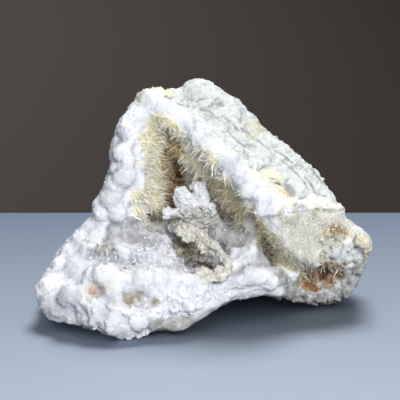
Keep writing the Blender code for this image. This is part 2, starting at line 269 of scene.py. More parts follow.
class ShaderWiring(Wiring):
    """Wires a material around one Principled BSDF."""

    def __init__(self, name: str) -> None:
        """Makes the material.

        Args:
            name: The material's name.
        """
        self.material = bpy.data.materials.new(name)
        self.material.use_nodes = True
        super().__init__(self.material.node_tree)
        self.shader = self.tree.nodes["Principled BSDF"]
        self.place = self.out(self.node("ShaderNodeTexCoord"), "Object")

    def shade(self, **values: Any) -> None:
        """Sets inputs of the shader, written with _ for a blank."""
        for name, value in values.items():
            self.plug(self.shader, name.replace("_", " ").title().replace("Ior", "IOR"), value)

    def attribute(self, name: str) -> Socket:
        """Reads a number stored on the mesh."""
        return self.out(self.node("ShaderNodeAttribute", attribute_name=name), "Fac")

    def noise(self, size: float, detail: float = 3.0, roughness: float = 0.55) -> Socket:
        """Cloudy noise whose clouds are about that many metres wide."""
        plugs = {"Vector": self.place, "Scale": 1 / size, "Detail": detail, "Roughness": roughness}
        return self.out(self.node("ShaderNodeTexNoise", plugs), "Fac")

    def streaks(self, size: float, stretch: float, turn: float) -> Socket:
        """Cloudy noise drawn out along a slanted line of the face.

        Args:
            size: How wide a streak is, in metres.
            stretch: How many times longer than wide it is.
            turn: How far it slants, in degrees.

        Returns:
            The noise, from 0 to 1.
        """
        turned = self.turned(self.place, math.radians(turn))
        spot = self.vector("MULTIPLY", self.out(turned), (1 / stretch / size, 1 / size, 1 / size))
        plugs = {"Vector": spot, "Scale": 1.0, "Detail": 4.0, "Roughness": 0.6}
        return self.out(self.node("ShaderNodeTexNoise", plugs), "Fac")

    def cells(self, size: float) -> Socket:
        """Distance inside cells of about that size."""
        plugs = {"Vector": self.place, "Scale": 1 / size}
        return self.out(self.node("ShaderNodeTexVoronoi", plugs), "Distance")

    def bump(self, height: Any, depth: float) -> Socket:
        """Turns a height into a bent normal."""
        return self.out(self.node("ShaderNodeBump", {"Height": height, "Distance": depth, "Strength": 1.0}))


class GeometryWiring(Wiring):
    """Wires a Geometry Nodes tree with named inputs."""

    def __init__(self, name: str, inputs: dict[str, str]) -> None:
        """Makes the tree.

        Args:
            name: The tree's name.
            inputs: The inputs after the geometry, with the type of socket of each.
        """
        tree = bpy.data.node_groups.new(name, "GeometryNodeTree")
        super().__init__(tree)
        tree.interface.new_socket("Geometry", in_out="INPUT", socket_type="NodeSocketGeometry")
        tree.interface.new_socket("Geometry", in_out="OUTPUT", socket_type="NodeSocketGeometry")
        for label, kind in inputs.items():
            tree.interface.new_socket(label, in_out="INPUT", socket_type=f"NodeSocket{kind}")
        self.inputs = tree.nodes.new("NodeGroupInput")
        self.result = tree.nodes.new("NodeGroupOutput")

    def given(self, name: str) -> Socket:
        """Returns one of the tree's inputs."""
        return self.inputs.outputs[name]

    def finish(self, geometry: Socket) -> None:
        """Links what the tree gives."""
        self.tree.links.new(geometry, self.result.inputs[0])

    def zone(self, name: Any) -> Socket:
        """Reads a number stored on the mesh."""
        return self.out(self.node("GeometryNodeInputNamedAttribute", {"Name": name}, data_type="FLOAT"))

    def random(self, low: Any, high: Any, seed: int) -> Socket:
        """A number or a vector that differs from point to point.

        Args:
            low, high: The least and the most, both numbers or both vectors.
            seed: The seed.

        Returns:
            The value of each point.
        """
        kind = "FLOAT_VECTOR" if isinstance(low, tuple) else "FLOAT"
        plugs = {"Min": low, "Max": high, "Seed": seed}
        return self.out(self.node("FunctionNodeRandomValue", plugs, data_type=kind))


def add_tree(obj: bpy.types.Object, tree: bpy.types.NodeTree, values: dict[str, Any]) -> None:
    """Adds a Geometry Nodes modifier and sets its named inputs.

    Args:
        obj: The object that gets the modifier.
        tree: The tree.
        values: The value of each input, by the input's name.
    """
    modifier = obj.modifiers.new(tree.name, "NODES")
    modifier.node_group = tree
    sockets = {item.name: item.identifier for item in tree.interface.items_tree if item.in_out == "INPUT"}
    for name, value in values.items():
        modifier[sockets[name]] = value


def new_object(name: str, mesh: bpy.types.Mesh) -> bpy.types.Object:
    """Links a new object at the origin.

    Args:
        name: The object's name.
        mesh: Its mesh.

    Returns:
        The object.
    """
    obj = bpy.data.objects.new(name, mesh)
    bpy.context.scene.collection.objects.link(obj)
    return obj


def from_bmesh(name: str, mesh: bmesh.types.BMesh) -> bpy.types.Object:
    """Turns a working mesh into a new object and frees it.

    Args:
        name: The object's name.
        mesh: The working mesh.

    Returns:
        The object.
    """
    data = bpy.data.meshes.new(name)
    mesh.to_mesh(data)
    mesh.free()
    return new_object(name, data)


def settle(obj: bpy.types.Object) -> bpy.types.Object:
    """Replaces an object's mesh by what its modifiers make of it.

    Args:
        obj: The object, which loses its modifiers.

    Returns:
        The same object.
    """
    bpy.context.view_layer.update()
    graph = bpy.context.evaluated_depsgraph_get()
    mesh = bpy.data.meshes.new_from_object(obj.evaluated_get(graph), depsgraph=graph)
    obj.modifiers.clear()
    obj.data = mesh
    return obj


def remesh(obj: bpy.types.Object, voxel: float) -> None:
    """Gives an object one even skin of small faces.

    Args:
        obj: The object.
        voxel: About how wide a face is, in metres.
    """
    modifier = obj.modifiers.new("skin", "REMESH")
    modifier.mode = "VOXEL"
    modifier.voxel_size = voxel
    modifier.use_smooth_shade = True
    settle(obj)


def relax(obj: bpy.types.Object, times: int) -> None:
    """Smooths an object's skin.

    Args:
        obj: The object.
        times: How many rounds of smoothing it gets.
    """
    modifier = obj.modifiers.new("relax", "SMOOTH")
    modifier.factor = 0.5
    modifier.iterations = times
    settle(obj)


def merged_copy(name: str, node: str) -> bpy.types.Object:
    """Copies a CAD node's mesh into a new object with shared corners.

    Args:
        name: The new object's name.
        node: The CAD node.

    Returns:
        The object.
    """
    mesh = bmesh.new()
    mesh.from_mesh(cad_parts[node].data)
    bmesh.ops.remove_doubles(mesh, verts=mesh.verts, dist=SAME_CORNER)
    return from_bmesh(name, mesh)


def vectors(items: Any, key: str) -> np.ndarray:
    """Reads a vector from each item of a mesh, one a row.

    Args:
        items: The mesh's corners or their normals.
        key: What is read from each.

    Returns:
        The vectors.
    """
    flat = np.empty(len(items) * 3)
    items.foreach_get(key, flat)
    return flat.reshape(-1, 3)


def points_of(mesh: bpy.types.Mesh) -> np.ndarray:
    """Returns a mesh's corners, one a row."""
    return vectors(mesh.vertices, "co")


def normals_of(mesh: bpy.types.Mesh) -> np.ndarray:
    """Returns the outward direction at each corner."""
    return vectors(mesh.vertex_normals, "vector")


def move_points(mesh: bpy.types.Mesh, points: np.ndarray) -> None:
    """Moves a mesh's corners."""
    mesh.vertices.foreach_set("co", points.ravel())
    mesh.update()


def keep_above_table(mesh: bpy.types.Mesh) -> None:
    """Lifts whatever lies below the table top up to it.

    Args:
        mesh: The mesh, whose corners move.
    """
    points = points_of(mesh)
    points[:, 2] = np.maximum(points[:, 2], 0.0)
    move_points(mesh, points)


def add_ball(mesh: bmesh.types.BMesh, centre: Vector, radius: float) -> None:
    """Adds a ball to a working mesh."""
    ball = bmesh.ops.create_icosphere(mesh, subdivisions=BALL_FINENESS, radius=radius)
    bmesh.ops.translate(mesh, verts=ball["verts"], vec=centre)


def triangles_in(obj: bpy.types.Object) -> int:
    """Counts the triangles that an object's faces make."""
    return sum(len(face.vertices) - 2 for face in obj.data.polygons)


def store(mesh: bpy.types.Mesh, name: str, values: np.ndarray) -> None:
    """Stores a number for each corner of a mesh."""
    layer = mesh.attributes.get(name) or mesh.attributes.new(name, "FLOAT", "POINT")
    layer.data.foreach_set("value", values.astype(np.float32))


def read(mesh: bpy.types.Mesh, name: str) -> np.ndarray:
    """Reads the number stored for each corner of a mesh.

    Args:
        mesh: The mesh.
        name: The number's name.

    Returns:
        The numbers.
    """
    values = np.empty(len(mesh.vertices), np.float32)
    mesh.attributes[name].data.foreach_get("value", values)
    return values


class Relief(Enum):
    """The ways in which the stone's skin is broken up."""

    BALLS = "balls"
    CLOUDS = "clouds"
    FACETS = "facets"
    CRACKS = "cracks"


@dataclass(frozen=True)
class Layer:
    """One layer of relief: its kind, how wide and high its forms are, and where it lies."""

    kind: Relief
    size: float
    height: float
    zone: str
    stretch: float = 1.0
    turn: float = 0.0


class ReliefTrees:
    """Geometry Nodes trees that push the skin in and out, one for each kind of relief."""

    INPUTS = {"Size": "Float", "Height": "Float", "Zone": "String", "Stretch": "Float", "Turn": "Float"}
    BALL_REACH = 0.8
    BALL_LEVEL = 0.7
    CRACK_WIDTH = 0.09
    WARP = 0.7
    MIDDLE = (0.5, 0.5, 0.5)

    def __init__(self) -> None:
        """Builds the trees."""
        self.trees = {kind: self._build(kind) for kind in Relief}

    def _build(self, kind: Relief) -> bpy.types.NodeTree:
        """Builds the tree of one kind.

        Args:
            kind: The kind of relief.

        Returns:
            The tree.
        """
        w = GeometryWiring(f"relief_{kind.value}", self.INPUTS)
        position = w.node("GeometryNodeInputPosition")
        normal = w.node("GeometryNodeInputNormal")
        scale = w.math("DIVIDE", 1.0, w.given("Size"))
        even = w.scaled(w.turned(position, w.given("Turn")), scale)
        narrow = w.math("DIVIDE", 1.0, w.given("Stretch"))
        spot = w.vector("MULTIPLY", even, w.node("ShaderNodeCombineXYZ", {"X": narrow, "Y": 1.0, "Z": 1.0}))
        wander = w.node("ShaderNodeTexNoise", {"Vector": spot, "Scale": 1.3, "Detail": 2.0})
        drift = w.vector("SUBTRACT", w.out(wander, "Color"), self.MIDDLE)
        warped = w.vector("ADD", spot, w.vector("MULTIPLY", drift, (self.WARP,) * 3))
        if kind is Relief.CLOUDS:
            clouds = w.node("ShaderNodeTexNoise", {"Vector": spot, "Scale": 1.0, "Detail": 5.0, "Roughness": 0.6})
            rise = w.math("MULTIPLY", w.math("SUBTRACT", w.out(clouds, "Fac"), 0.5), 2.0)
        elif kind is Relief.BALLS:
            cells = w.node("ShaderNodeTexVoronoi", {"Vector": warped, "Scale": 1.0}, feature="F1")
            reach = w.math("DIVIDE", w.out(cells, "Distance"), self.BALL_REACH)
            square = w.math("SUBTRACT", 1.0, w.math("MULTIPLY", reach, reach), clamp=True)
            rise = w.math("SUBTRACT", w.math("SQRT", square), self.BALL_LEVEL)
        elif kind is Relief.FACETS:
            cells = w.node("ShaderNodeTexVoronoi", {"Vector": warped, "Scale": 1.0}, feature="F1")
            lean = w.vector("SUBTRACT", w.out(cells, "Color"), self.MIDDLE)
            away = w.vector("SUBTRACT", warped, w.out(cells, "Position"))
            rise = w.math("MULTIPLY", w.vector("DOT_PRODUCT", lean, away), 2.0)
        else:
            edge = w.node("ShaderNodeTexVoronoi", {"Vector": warped, "Scale": 1.0}, feature="DISTANCE_TO_EDGE")
            rise = w.range(w.out(edge, "Distance"), 0.0, self.CRACK_WIDTH, -1.0, 0.0)
        amount = w.math("MULTIPLY", w.math("MULTIPLY", rise, w.given("Height")), w.zone(w.given("Zone")))
        plugs = {"Geometry": w.given("Geometry"), "Offset": w.scaled(normal, amount)}
        moved = w.node("GeometryNodeSetPosition", plugs)
        w.finish(w.out(moved))
        return w.tree

    def apply(self, obj: bpy.types.Object, layers: tuple[Layer, ...]) -> None:
        """Breaks up an object's skin with several layers, one after the other.

        Args:
            obj: The object, whose zones are stored.
            layers: The layers, lowest first.
        """
        for layer in layers:
            values = {label: getattr(layer, label.lower()) for label in self.INPUTS}
            add_tree(obj, self.trees[layer.kind], values | {"Turn": math.radians(layer.turn)})
        settle(obj)


Pixels = tuple[tuple[float, float], ...]
FAR = 1e9


def away_from(seen: np.ndarray, start: np.ndarray, end: np.ndarray) -> np.ndarray:
    """Measures how far pixels lie from a straight line.

    Args:
        seen: The pixels, one a row.
        start, end: The ends of the line.

    Returns:
        The distance of each, in pixels.
    """
    run = end - start
    along = np.clip(((seen - start) @ run) / (run @ run), 0, 1)
    away = seen - start - along[:, None] * run
    return np.hypot(away[:, 0], away[:, 1])


@dataclass(frozen=True)
class Zone:
    """A patch of the stone's face, drawn in the pixels of the reference view."""

    outline: Pixels
    soft: float = 5.0
    ragged: float = 4.0

    def weights(self, seen: np.ndarray, wobble: np.ndarray) -> np.ndarray:
        """Tells how far each point lies inside the patch.

        Args:
            seen: The pixel of each point.
            wobble: Noise of each point, about -1 to 1, that makes the border ragged.

        Returns:
            1 well inside, 0 outside, and a ragged step between.
        """
        corners = np.array(self.outline, float)
        inside = np.zeros(len(seen), bool)
        nearest = np.full(len(seen), FAR)
        for start, end in zip(corners, np.roll(corners, -1, axis=0)):
            nearest = np.minimum(nearest, away_from(seen, start, end))
            run = end - start
            spans = (start[1] > seen[:, 1]) != (end[1] > seen[:, 1])
            rise = run[1] if abs(run[1]) > 1 / FAR else 1 / FAR
            inside ^= spans & (seen[:, 0] < start[0] + (seen[:, 1] - start[1]) / rise * run[0])
        signed = np.where(inside, nearest, -nearest) + wobble * self.ragged
        return smoothstep(-self.soft / 2, self.soft / 2, signed)


# Patches of the face. Everything on the front that is in none of them is soft crust.
ZONES = {
    "slab": Zone((
        (174, 92), (190, 76), (205, 76), (226, 90), (256, 113), (284, 132), (310, 156), (330, 178),
        (348, 204), (346, 214), (332, 212), (300, 211), (290, 205), (281, 194), (262, 178), (246, 163),
        (230, 148), (208, 128), (192, 116), (179, 104),
    )),
    "jagged": Zone((
        (124, 247), (140, 238), (158, 240), (180, 238), (190, 250), (188, 270), (160, 272), (130, 264),
    )),
    "rim_low": Zone((
        (146, 300), (160, 296), (200, 293), (226, 286), (234, 296), (206, 306), (196, 318), (150, 318),
    )),
    "bed_left": Zone((
        (148, 124), (157, 118), (166, 120), (174, 132), (179, 150), (178, 178), (171, 206), (162, 222),
        (150, 224), (143, 216), (140, 197), (144, 180), (145, 165), (149, 150), (144, 136),
    ), 20, 9),
    "olive_top": Zone(((150, 124), (158, 118), (170, 124), (176, 134), (168, 142), (156, 139), (148, 132)), 8, 4),
    "slot": Zone((
        (164, 144), (170, 134), (182, 142), (183, 153), (181, 162), (185, 173), (183, 188), (177, 200),
        (171, 211), (163, 226), (156, 223), (157, 208), (161, 196), (160, 184), (162, 172), (161, 157),
    ), 7, 3),
    "hollow_left": Zone(((147, 212), (153, 211), (156, 220), (151, 224), (147, 219)), 2, 1),
    "hollow_slot": Zone(((174, 176), (179, 175), (180, 184), (177, 187), (174, 183)), 2, 1),
    "hollow_right": Zone(((217, 206), (222, 208), (226, 216), (224, 221), (219, 216)), 2, 1),
    "hollow_lower": Zone(((228, 212), (234, 211), (241, 215), (238, 219), (231, 217)), 2, 1),
    "line_amber": Zone(((273.5, 183), (277, 181.3), (282, 184), (281, 186), (277, 184.5)), 1, 0.5),
    "brown_right": Zone((
        (206, 176), (220, 176), (236, 192), (252, 208), (268, 218), (274, 232), (264, 236), (252, 224),
        (240, 222), (224, 216), (212, 204), (204, 188),
    ), 10, 5),
    "bed_right": Zone((
        (174, 135), (188, 142), (204, 152), (216, 162), (223, 176), (233, 190), (246, 204), (256, 220),
        (246, 226), (228, 218), (214, 206), (206, 190), (194, 177), (184, 168), (180, 154),
    ), 16, 7),
    "bed_band": Zone((
        (248, 214), (258, 216), (272, 230), (288, 248), (304, 264), (302, 276), (290, 274), (278, 266),
        (268, 258), (259, 244), (251, 230),
    ), 8, 5),
    "white_ridge": Zone((
        (268, 216), (279, 221), (291, 235), (304, 257), (301, 261), (289, 246), (277, 232), (267, 222),
    ), 4, 6),
    "bed_druse": Zone((
        (276, 216), (300, 213), (345, 212), (352, 224), (344, 242), (326, 248), (318, 262), (306, 268),
        (292, 252), (279, 232),
    ), 12, 6),
    "slit": Zone(((262, 238), (269, 240), (274, 256), (276, 266), (270, 264), (264, 252)), 3, 1.5),
    "hole": Zone((
        (172, 240), (186, 238), (200, 246), (212, 255), (218, 266), (208, 270), (186, 268), (176, 256),
    ), 4, 2),
    "rust": Zone((
        (302, 270), (312, 266), (330, 265), (344, 267), (342, 277), (330, 286), (314, 290), (302, 285),
    ), 14, 7),
    "rust_core": Zone(((318, 268), (326, 266), (329, 273), (326, 282), (319, 282)), 3, 2),
    "rust_streak": Zone(((300, 285), (311, 284), (322, 287), (320, 291), (306, 290)), 3, 2),
    "stain_foot": Zone(((84, 290), (92, 285), (107, 286), (111, 292), (100, 300), (86, 299)), 9, 7),
    "stain_dark": Zone(((90, 289), (95, 289), (98, 292), (93, 295), (89, 293)), 2, 2),
    "stain_rim": Zone(((125, 294), (134, 293), (146, 298), (158, 302), (146, 306), (132, 304)), 8, 8),
    "plates": Zone((
        (76, 302), (100, 298), (128, 306), (150, 312), (150, 335), (130, 345), (100, 336), (78, 326),
    ), 8, 5),
    "cream_rim": Zone(((106, 300), (118, 297), (132, 302), (134, 311), (120, 314), (108, 308)), 6, 4),
    "ledge": Zone(((299, 200), (312, 196), (326, 198), (341, 204), (339, 209), (322, 208), (306, 208)), 4, 2),
    "slab_mark": Zone(((213, 99), (219, 97), (227, 103), (225, 107), (214, 105)), 2, 1),
    "slab_band": Zone(((198, 111), (206, 108), (219, 118), (216, 124), (205, 119)), 3, 3),
    "smooth": Zone((
        (148, 318), (200, 314), (232, 301), (290, 292), (300, 305), (240, 318), (198, 334), (150, 336),
    ), 4, 2),
    "grey_back": Zone(((183, 172), (198, 168), (207, 180), (210, 196), (190, 200), (180, 188)), 5, 2),
    "grey_crescent": Zone(((284, 183), (290, 184), (295, 191), (294, 198), (289, 196), (287, 189)), 2, 1),
    "grey_recess": Zone(((218, 226), (236, 222), (250, 232), (248, 248), (228, 250), (217, 240)), 6, 3),
    "grey_crevice": Zone((
        (88, 248), (98, 246), (106, 250), (118, 250), (130, 260), (124, 266), (110, 262), (98, 260), (90, 256),
    ), 8, 8),
    "cream": Zone(((252, 168), (278, 170), (284, 182), (298, 200), (300, 208), (284, 208), (268, 190)), 5, 2),
    "clear": Zone(((243, 117), (256, 114), (266, 122), (264, 136), (250, 140), (242, 132)), 5, 2),
    "yellow_top": Zone(((131, 100), (134, 90), (142, 86), (150, 88), (142, 96), (136, 108)), 4, 2),
    "fan_left": Zone(((97, 244), (104, 242), (111, 246), (109, 250), (101, 251), (96, 249)), 3, 1),
    "bed_hole": Zone(((176, 239), (188, 239), (197, 246), (196, 254), (184, 258), (176, 252)), 3, 1),
    "pocket": Zone(((322, 224), (334, 223), (344, 230), (342, 237), (330, 236), (322, 231)), 8, 5),
    "corner": Zone((
        (345, 212), (358, 222), (374, 231), (376, 248), (366, 254), (356, 247), (350, 236), (350, 224),
    ), 5, 3),
    "rubble": Zone((
        (170, 213), (180, 210), (192, 207), (206, 209), (216, 214), (226, 226), (222, 238), (205, 238),
        (190, 232), (174, 230),
    ), 4, 2),
    "soft_grey": Zone((
        (104, 226), (128, 224), (150, 226), (166, 232), (160, 241), (138, 246), (118, 244), (104, 240),
    ), 8, 5),
    # The left tip, which is painted in shade.
    "left_tip_shade": Zone(((36, 294), (60, 290), (80, 286), (82, 314), (60, 324), (40, 318)), 8, 5),
    "block": Zone((
        (322, 241), (334, 236), (346, 240), (358, 248), (362, 262), (350, 268), (330, 266), (318, 262),
    ), 5, 3),
    "right_foot": Zone((
        (280, 270), (300, 276), (316, 284), (336, 282), (346, 266), (370, 250), (366, 280), (345, 310),
        (310, 310), (280, 300),
    ), 10, 5),
}
BEDS = ("bed_left", "bed_right", "bed_band", "bed_druse", "bed_hole")
# Small holes and a brown line. The holes are painted dark as shade, on the skin and on their needles.
DARK = ("hollow_left", "hollow_right", "hollow_lower", "hollow_slot", "line_amber")
BARE = ("slab", "smooth", "hole", "rust", "right_foot", "block", "corner")
ROCK = ("slab", "block", "corner")
# How far some patches are pressed in, in metres.
PRESSED = {"pocket": 2.5 * MM, "dark": 2.0 * MM, "rust_core": 3.5 * MM, "rust_streak": 1.0 * MM,
           "grey_crevice": 0.8 * MM, "slit": 1.5 * MM}


@dataclass(frozen=True)
class Groove:
    """A crack or a scratch in the face, drawn in pixels of the reference view."""

    line: Pixels
    width: float = 1.4
    depth: float = 0.7 * MM
    FULL_DEPTH = 0.3

    def weights(self, seen: np.ndarray) -> np.ndarray:
        """Tells how near the line each point lies.

        Args:
            seen: The pixel of each point.

        Returns:
            1 on the line and 0 from its width on.
        """
        corners = np.array(self.line, float)
        nearest = np.minimum.reduce([away_from(seen, *ends) for ends in zip(corners, corners[1:])])
        return 1 - smoothstep(self.width * self.FULL_DEPTH, self.width, nearest)


GROOVES = (
    Groove(((288, 212), (296, 213), (306, 212), (316, 210), (328, 211), (343, 210)), 1.6, 1.4 * MM),
    Groove(((282, 161), (290, 166), (297, 173), (304, 181), (309, 190))),
    Groove(((305, 177), (312, 185), (317, 194), (327, 196))),
    Groove(((274, 150), (284, 156), (292, 163)), 1.2, 0.5 * MM),
    Groove(((300, 199), (306, 197), (314, 199), (320, 198)), 1.4, 0.8 * MM),
    Groove(((203, 110), (211, 113), (219, 120)), 1.6, 0.4 * MM),
    Groove(((258, 140), (268, 148), (276, 158)), 1.2, 0.5 * MM),
    Groove(((240, 128), (250, 134), (259, 141)), 1.2, 0.5 * MM),
    Groove(((228, 131), (236, 140), (246, 147)), 1.2, 0.4 * MM),
    Groove(((308, 166), (316, 174), (322, 183)), 1.2),
    Groove(((200.5, 109), (202.5, 109.5)), 2.0, 1.0 * MM), Groove(((195, 131), (197, 131.5)), 1.8, 1.0 * MM),
    Groove(((225, 118), (233, 124), (238, 131)), 1.3, 0.5 * MM),
    Groove(((268, 128), (276, 137), (287, 143), (296, 152)), 1.3, 0.5 * MM),
)


class Skin:
    """The numbers that dress a skin: where each zone lies, and how hollow the skin is."""

    FACING = (-0.42, -0.02)
    WOBBLE_SIZE = 7 * MM
    WOBBLE = 1.6
    BED_BARE = 0.8
    HOLLOW_ROUNDS = 8
    RIDGE_BARE = 0.6
    POCKET_BARE = 0.5
    HOLLOW_HEIGHT = 0.45 * MM

    def __init__(self, mesh: bpy.types.Mesh) -> None:
        """Takes the mesh that gets the numbers."""
        self.mesh = mesh

    def write_zones(self) -> None:
        """Stores every zone, and what follows from them."""
        points, normals = points_of(self.mesh), normals_of(self.mesh)
        seen = VIEW.pixels(points)
        towards = np.array((0.0, -math.cos(VIEW.lean), math.sin(VIEW.lean)))
        front = smoothstep(*self.FACING, normals @ towards)
        wobble = np.array([noise.noise(Vector(p) / self.WOBBLE_SIZE) for p in points]) * self.WOBBLE
        inside = {name: zone.weights(seen, wobble) * front for name, zone in ZONES.items()}
        for name in BEDS:
            inside[name] *= 1 - inside["white_ridge"] * self.RIDGE_BARE
        inside["bed_druse"] *= 1 - inside["pocket"] * self.POCKET_BARE
        inside["slab"] *= 1 - inside["ledge"]
        inside["jagged"] *= 1 - inside["hole"]
        for name, weights in inside.items():
            store(self.mesh, name, weights)
        bed = np.maximum.reduce([inside[name] for name in (*BEDS, "slot")])
        bare = np.maximum.reduce([inside[name] for name in BARE])
        store(self.mesh, "dark", np.maximum.reduce([inside[name] for name in DARK]))
        store(self.mesh, "front", front)
        store(self.mesh, "bed", bed)
        store(self.mesh, "rear", 1 - front)
        store(self.mesh, "crust", front * (1 - bed * self.BED_BARE) * (1 - bare))
        store(self.mesh, "rock", np.maximum.reduce([inside[name] for name in ROCK] + [1 - front]))
        store(self.mesh, "all", np.ones(len(points)))
        store(self.mesh, "crack", np.maximum.reduce([g.weights(seen) for g in GROOVES]) * front)

    def cut_grooves(self) -> None:
        """Cuts the cracks of the face into the skin."""
        points, normals = points_of(self.mesh), normals_of(self.mesh)
        seen, front = VIEW.pixels(points), read(self.mesh, "front")
        depth = np.maximum.reduce([g.weights(seen) * g.depth for g in GROOVES]) * front
        for name, press in PRESSED.items():
            depth = np.maximum(depth, read(self.mesh, name) * press)
        move_points(self.mesh, points - normals * depth[:, None])

    def write_hollows(self) -> None:
        """Stores how far each corner lies below its surroundings, about -1 to 1."""
        points, normals = points_of(self.mesh), normals_of(self.mesh)
        edges = np.empty(len(self.mesh.edges) * 2, np.int64)
        self.mesh.edges.foreach_get("vertices", edges)
        first, second = edges.reshape(-1, 2).T
        count = np.bincount(edges, minlength=len(points))[:, None]
        smooth = points
        for _ in range(self.HOLLOW_ROUNDS):
            near = np.stack([
                np.bincount(first, smooth[second, axis], len(points))
                + np.bincount(second, smooth[first, axis], len(points)) for axis in range(3)
            ], axis=1)
            smooth = (smooth + near / count) / 2
        below = np.einsum("ij,ij->i", smooth - points, normals) / self.HOLLOW_HEIGHT
        store(self.mesh, "hollow", np.clip(below, -1, 1))


@dataclass(frozen=True)
class StoneFinish:
    """White calcite crust and the broken rock that carries it."""

    crust: Colour = srgb(239, 240, 243)
    # Grey of the crust: random mottling, and painted shade in its creases.
    crust_shade: Colour = srgb(204, 206, 213)
    rock: Colour = srgb(210, 213, 212)
    # Grey of the rock's mottling, also used as painted shade in its hollows.
    rock_shade: Colour = srgb(158, 163, 162)
    crack: Colour = srgb(140, 143, 140)
    bed: Colour = srgb(240, 232, 198)
    # Dark brown of the deep beds: partly their own colour, partly painted shade deeper in the hollow.
    bed_deep: Colour = srgb(122, 92, 38)
    deep_from: float = 24 * MM
    deep_to: float = 46 * MM
    # Dark brown: of the rust in its hollows and of the amber line, and painted shade in the small holes.
    rust_brown_and_hole_shade: Colour = srgb(92, 66, 44)
    grey: Colour = srgb(158, 156, 156)
    cream: Colour = srgb(232, 226, 206)
    yellow: Colour = srgb(196, 190, 162)
    # The tint of each zone, one over the other, and where in the middle noise it sets in and is full.
    tints: tuple[tuple[str, Colour, float, float], ...] = (
        # The smooth underside: the rock's own grey-green, darkened as painted shade under the stone.
        ("smooth", srgb(166, 166, 159), 0.15, 0.6),
        ("grey_back", srgb(216, 206, 198), 0.2, 0.5),
        ("grey_recess", srgb(172, 172, 170), 0.2, 0.6),
        ("grey_crevice", srgb(176, 177, 183), 0.1, 0.4),
        ("cream", cream, 0.3, 0.6),
        ("clear", yellow, 0.35, 0.7),
        ("yellow_top", yellow, 0.3, 0.6),
        ("cream_rim", cream, 0.45, 0.8),
        ("stain_rim", srgb(160, 149, 130), 0.25, 0.5),
        ("stain_foot", srgb(228, 210, 190), 0.36, 0.62),
        ("stain_dark", srgb(172, 136, 100), 0.3, 0.7),
        ("slab_mark", grey, 0.2, 0.6),
        ("slab_band", grey, 0.35, 0.7),
        ("bed_druse", srgb(198, 197, 187), 0.0, 0.3),
        ("olive_top", srgb(214, 204, 158), 0.0, 0.2),
        # The slot's dark brown: partly its own colour, partly painted shade in the narrow slot.
        ("slot", bed_deep, 0.1, 0.5),
        ("pocket", srgb(146, 126, 86), 0.0, 0.2),
        ("soft_grey", srgb(158, 158, 161), 0.2, 0.6),
        # Painted shade: the left tip is tinted lavender grey.
        ("left_tip_shade", srgb(194, 196, 203), 0.2, 0.5),
        # The right foot: partly its own grey, partly painted shade on its lower side.
        ("right_foot", srgb(136, 136, 128), 0.2, 0.6),
        ("grey_crescent", grey, 0.1, 0.4),
        ("ledge", srgb(240, 240, 230), 0.0, 0.3),
        # Painted shade: the hole below the coral is coloured dark so that it reads as deep.
        ("hole", srgb(88, 72, 50), 0.3, 0.6),
        ("rust", srgb(162, 138, 108), 0.0, 0.35),
        # Painted shade in the small holes, and the amber line's own brown.
        ("dark", rust_brown_and_hole_shade, 0.0, 0.3),
        ("slit", srgb(112, 92, 70), 0.0, 0.2),
        ("rust_streak", srgb(168, 122, 74), 0.2, 0.5),
        ("rust_core", srgb(92, 50, 26), 0.0, 0.2),
    )

    def material(self) -> bpy.types.Material:
        """Wires the finish from the zones stored on the skin.

        Returns:
            The material.
        """
        w = ShaderWiring("white_calcite")
        broad, middle, fine = w.noise(16 * MM, 3), w.noise(4 * MM, 4), w.noise(1.1 * MM, 4, 0.65)
        hollow = w.attribute("hollow")
        crust = w.mix(w.range(broad, 0.35, 0.7), self.crust, self.crust_shade)
        # Painted shade: the crust greys in the creases and hollows of the skin.
        crust = w.mix(w.range(hollow, 0.05, 0.9, 0, 0.8), crust, self.crust_shade)
        streaks = w.range(w.streaks(2.6 * MM, 3.0, 38), 0.5, 0.66)
        patches = w.math("MULTIPLY", streaks, w.range(broad, 0.35, 0.65, 0.15, 1.0))
        # Painted shade: the rock's hollows add to its grey mottling.
        patches = w.math("ADD", patches, w.range(hollow, 0.1, 0.8, 0, 0.6), clamp=True)
        rock = w.mix(patches, self.rock, self.rock_shade)
        rock = w.mix(w.math("MULTIPLY", w.attribute("crack"), w.range(middle, 0.3, 0.6)), rock, self.crack)
        colour = w.mix(w.attribute("rock"), crust, rock)
        colour = w.mix(w.math("POWER", w.attribute("bed"), 1.3), colour, self.bed)
        for zone, tint, low, high in self.tints:
            amount = w.math("MULTIPLY", w.attribute(zone), w.range(middle, low, high))
            colour = w.mix(amount, colour, tint)
        # Painted shade, partly the beds' own brown: the skin under the needles darkens the deeper it lies.
        sunk = w.math("MULTIPLY", w.attribute("bed"), w.range(VIEW.depth_in(w), self.deep_from, self.deep_to))
        colour = w.mix(sunk, colour, self.bed_deep)
        dark = w.math("MULTIPLY", w.attribute("rust"), w.range(hollow, 0.2, 0.9, 0.0, 0.7))
        colour = w.mix(dark, colour, self.rust_brown_and_hole_shade)
        speckle = w.range(fine, 0.35, 0.7, 0.93, 1.04)
        speckled = w.node("ShaderNodeCombineColor", dict.fromkeys(range(3), speckle))
        colour = w.mix(1.0, colour, w.out(speckled), "MULTIPLY")
        relief = w.math("ADD", fine, w.math("MULTIPLY", w.cells(1.4 * MM), 0.8))
        relief = w.math("MULTIPLY", relief, w.range(w.attribute("crust"), 0.0, 1.0, 1.0, 0.8))
        w.shade(
            base_color=colour, roughness=w.range(fine, 0.3, 0.7, 0.5, 0.85),
            subsurface_weight=w.range(w.attribute("crust"), 0.0, 1.0, 0.25, 0.7),
            subsurface_radius=(1.0, 1.0, 1.0), subsurface_scale=2.0 * MM, ior=1.5,
            normal=w.bump(relief, 0.35 * MM),
        )
        return w.material


